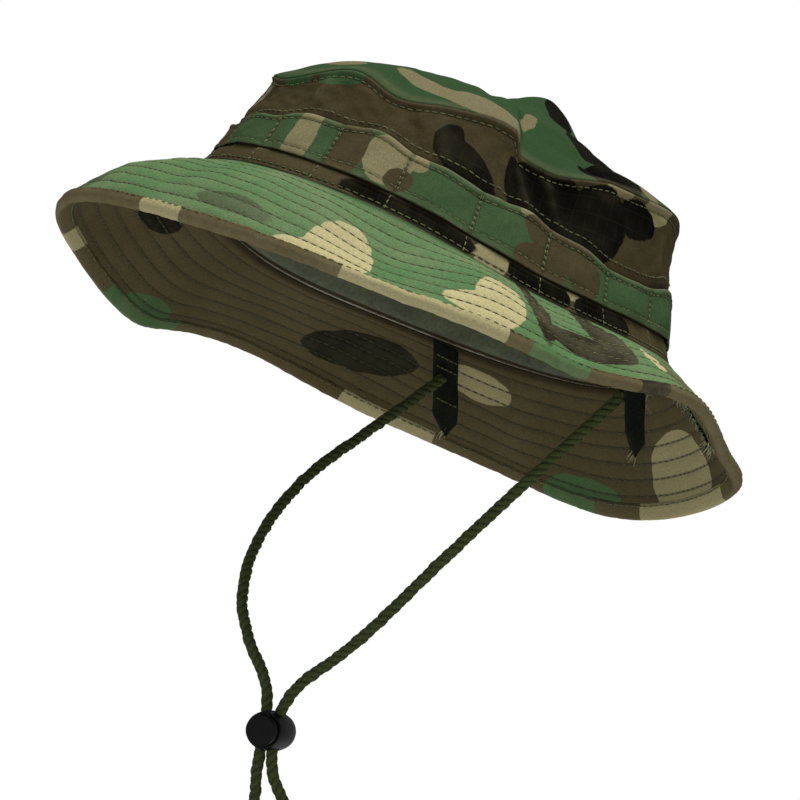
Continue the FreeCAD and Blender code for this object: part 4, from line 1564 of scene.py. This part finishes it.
def raw_edge():
    """The brim's raw inner edge, which hangs down frayed at the back left, with its loose threads."""
    theta = np.linspace(RAW_FROM, RAW_TO, 60)
    rows = 14
    verts = []
    for face in (0, 1):
        for r in range(rows):
            down = r / (rows - 1)
            ragged = 1 + 0.35 * folds(theta * DEGREE, 0, 4, 61) + 0.2 * folds(theta * DEGREE, 0, 1.7, 62)
            ends = smooth((theta - RAW_FROM) / 3) * smooth((RAW_TO - theta) / 3)
            height = -3.0 - 9.0 * down * np.clip(ragged, 0.3, 1.3) * (0.3 + 0.7 * ends)
            wave = 0.5 * folds(theta * DEGREE, down * 10, 8, 63) * down
            x, y = oval(theta, -3.6 - 0.8 * face - np.abs(wave))
            verts.append(np.stack([x, y, height], -1))
    verts = np.concatenate(verts)
    seam_verts, seam_faces = frayed_seam()
    faces = np.concatenate([two_faces(rows, len(theta), False), seam_faces + len(verts)])
    piece = new_piece("raw_edge_fray", np.concatenate([verts, seam_verts]), faces, None, None, frayed)
    close_ends(piece)
    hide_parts("seam_allowance_fray")
    draw = np.random.default_rng(71)
    threads = []
    for i in range(90):
        at = draw.uniform(RAW_FROM, RAW_TO)
        x, y = oval(np.array(at), -3.8)
        start = (float(x), float(y), draw.uniform(-11, -6))
        heading = (draw.uniform(-0.6, 0.6), draw.uniform(-0.6, 0.6), -0.8)
        threads.append(loose_thread(start, heading, draw.uniform(2.5, 7.0), 200 + i))
    for side in (1, -1):
        place, inward, across = tab_frame(side)
        for i in range(16):
            sideways = across * draw.uniform(-1.5, 1.5)
            start = place + inward * 1.0 + sideways + tab_hang(TAB_TIP + draw.uniform(0.5, 3.5))
            heading = (draw.uniform(-0.5, 0.5), draw.uniform(-0.5, 0.5), -1)
            threads.append(loose_thread(start, heading, draw.uniform(2, 5), 400 + i))
    for i in range(70):
        start = fray_point(draw.uniform(0, 1), draw.uniform(-1, 1), 2.0)
        heading = (draw.uniform(-0.8, 0.8), draw.uniform(-0.3, 0.9), -0.6)
        threads.append(loose_thread(start, heading, draw.uniform(2.0, 6.0), 600 + i, thick=0.34))
    threads_piece("frayed_threads", threads, pale_thread)


# ---------------------------------------------------------------- stage

FILL_LIGHT = 0.36           # strength of the light from all round
OVERHEAD_WATTS = 31
SIDE_WATTS = 2
FLOOR_DROP = 0.035          # metres from the CAD model's lowest point down to the floor
FLOOR_HALF = 6.0

def area_light(name, place, target, size, power):
    data = bpy.data.lights.new(name, "AREA")
    data.size = size
    data.energy = power
    lamp = bpy.data.objects.new(name, data)
    bpy.context.scene.collection.objects.link(lamp)
    lamp.location = place
    lamp.rotation_euler = (Vector(target) - Vector(place)).to_track_quat("-Z", "Y").to_euler()


def make_stage():
    floor_height = cad_box[0][2] - FLOOR_DROP
    corners = [(x * FLOOR_HALF, y * FLOOR_HALF, floor_height) for x, y in ((-1, -1), (1, -1), (1, 1), (-1, 1))]
    mesh = bpy.data.meshes.new("floor")
    mesh.from_pydata(corners, [], [(0, 1, 2, 3)])
    floor = bpy.data.objects.new("floor", mesh)
    bpy.context.scene.collection.objects.link(floor)
    material, _, shader = new_material("floor_paper", 0.85)
    shader.inputs["Base Color"].default_value = (0.82, 0.82, 0.82, 1)
    mesh.materials.append(material)
    world = bpy.data.worlds.new("studio")
    world.use_nodes = True
    tree = world.node_tree
    backdrop = tree.nodes["Background"]
    backdrop.inputs["Color"].default_value = (1, 1, 1, 1)
    fill = tree.nodes.new("ShaderNodeBackground")
    fill.inputs["Color"].default_value = (1, 1, 1, 1)
    fill.inputs["Strength"].default_value = FILL_LIGHT
    seen = tree.nodes.new("ShaderNodeLightPath")
    mix = tree.nodes.new("ShaderNodeMixShader")
    tree.links.new(seen.outputs["Is Camera Ray"], mix.inputs[0])
    tree.links.new(fill.outputs[0], mix.inputs[1])
    tree.links.new(backdrop.outputs[0], mix.inputs[2])
    tree.links.new(mix.outputs[0], tree.nodes["World Output"].inputs["Surface"])
    bpy.context.scene.world = world
    bpy.context.scene.view_settings.view_transform = "Standard"
    area_light("overhead", (0.25, -0.25, 1.5), (0, 0, 0), 1.1, OVERHEAD_WATTS)
    area_light("camera_side", (1.4, -0.3, 0.7), (0, 0, -0.05), 0.9, SIDE_WATTS)


# ---------------------------------------------------------------- all pieces

make_camera()
lock_barrel = rounded_node("lock_barrel", "cord_lock_barrel", "cord_lock", 0.00035)
lock_button = rounded_node("lock_button", "cord_lock_plunger", "lock_button", 0.0004)
lock_spring = coil_spring()
chin_cord_strands()
crown_side_cloth()
crown_top_cloth()
loop_band_cloth()
base_strip_cloth()
crown_stitches()
divider_stitches()
back_seam_stitches()
sweatband()
size_label()
brim_layers()
brim_stitches()
binding_tape()
cord_tab("tab_left_cloth", "cord_tab_left", 1)
cord_tab("tab_right_cloth", "cord_tab_right", -1)
tab_stitches()
raw_edge()
make_stage()
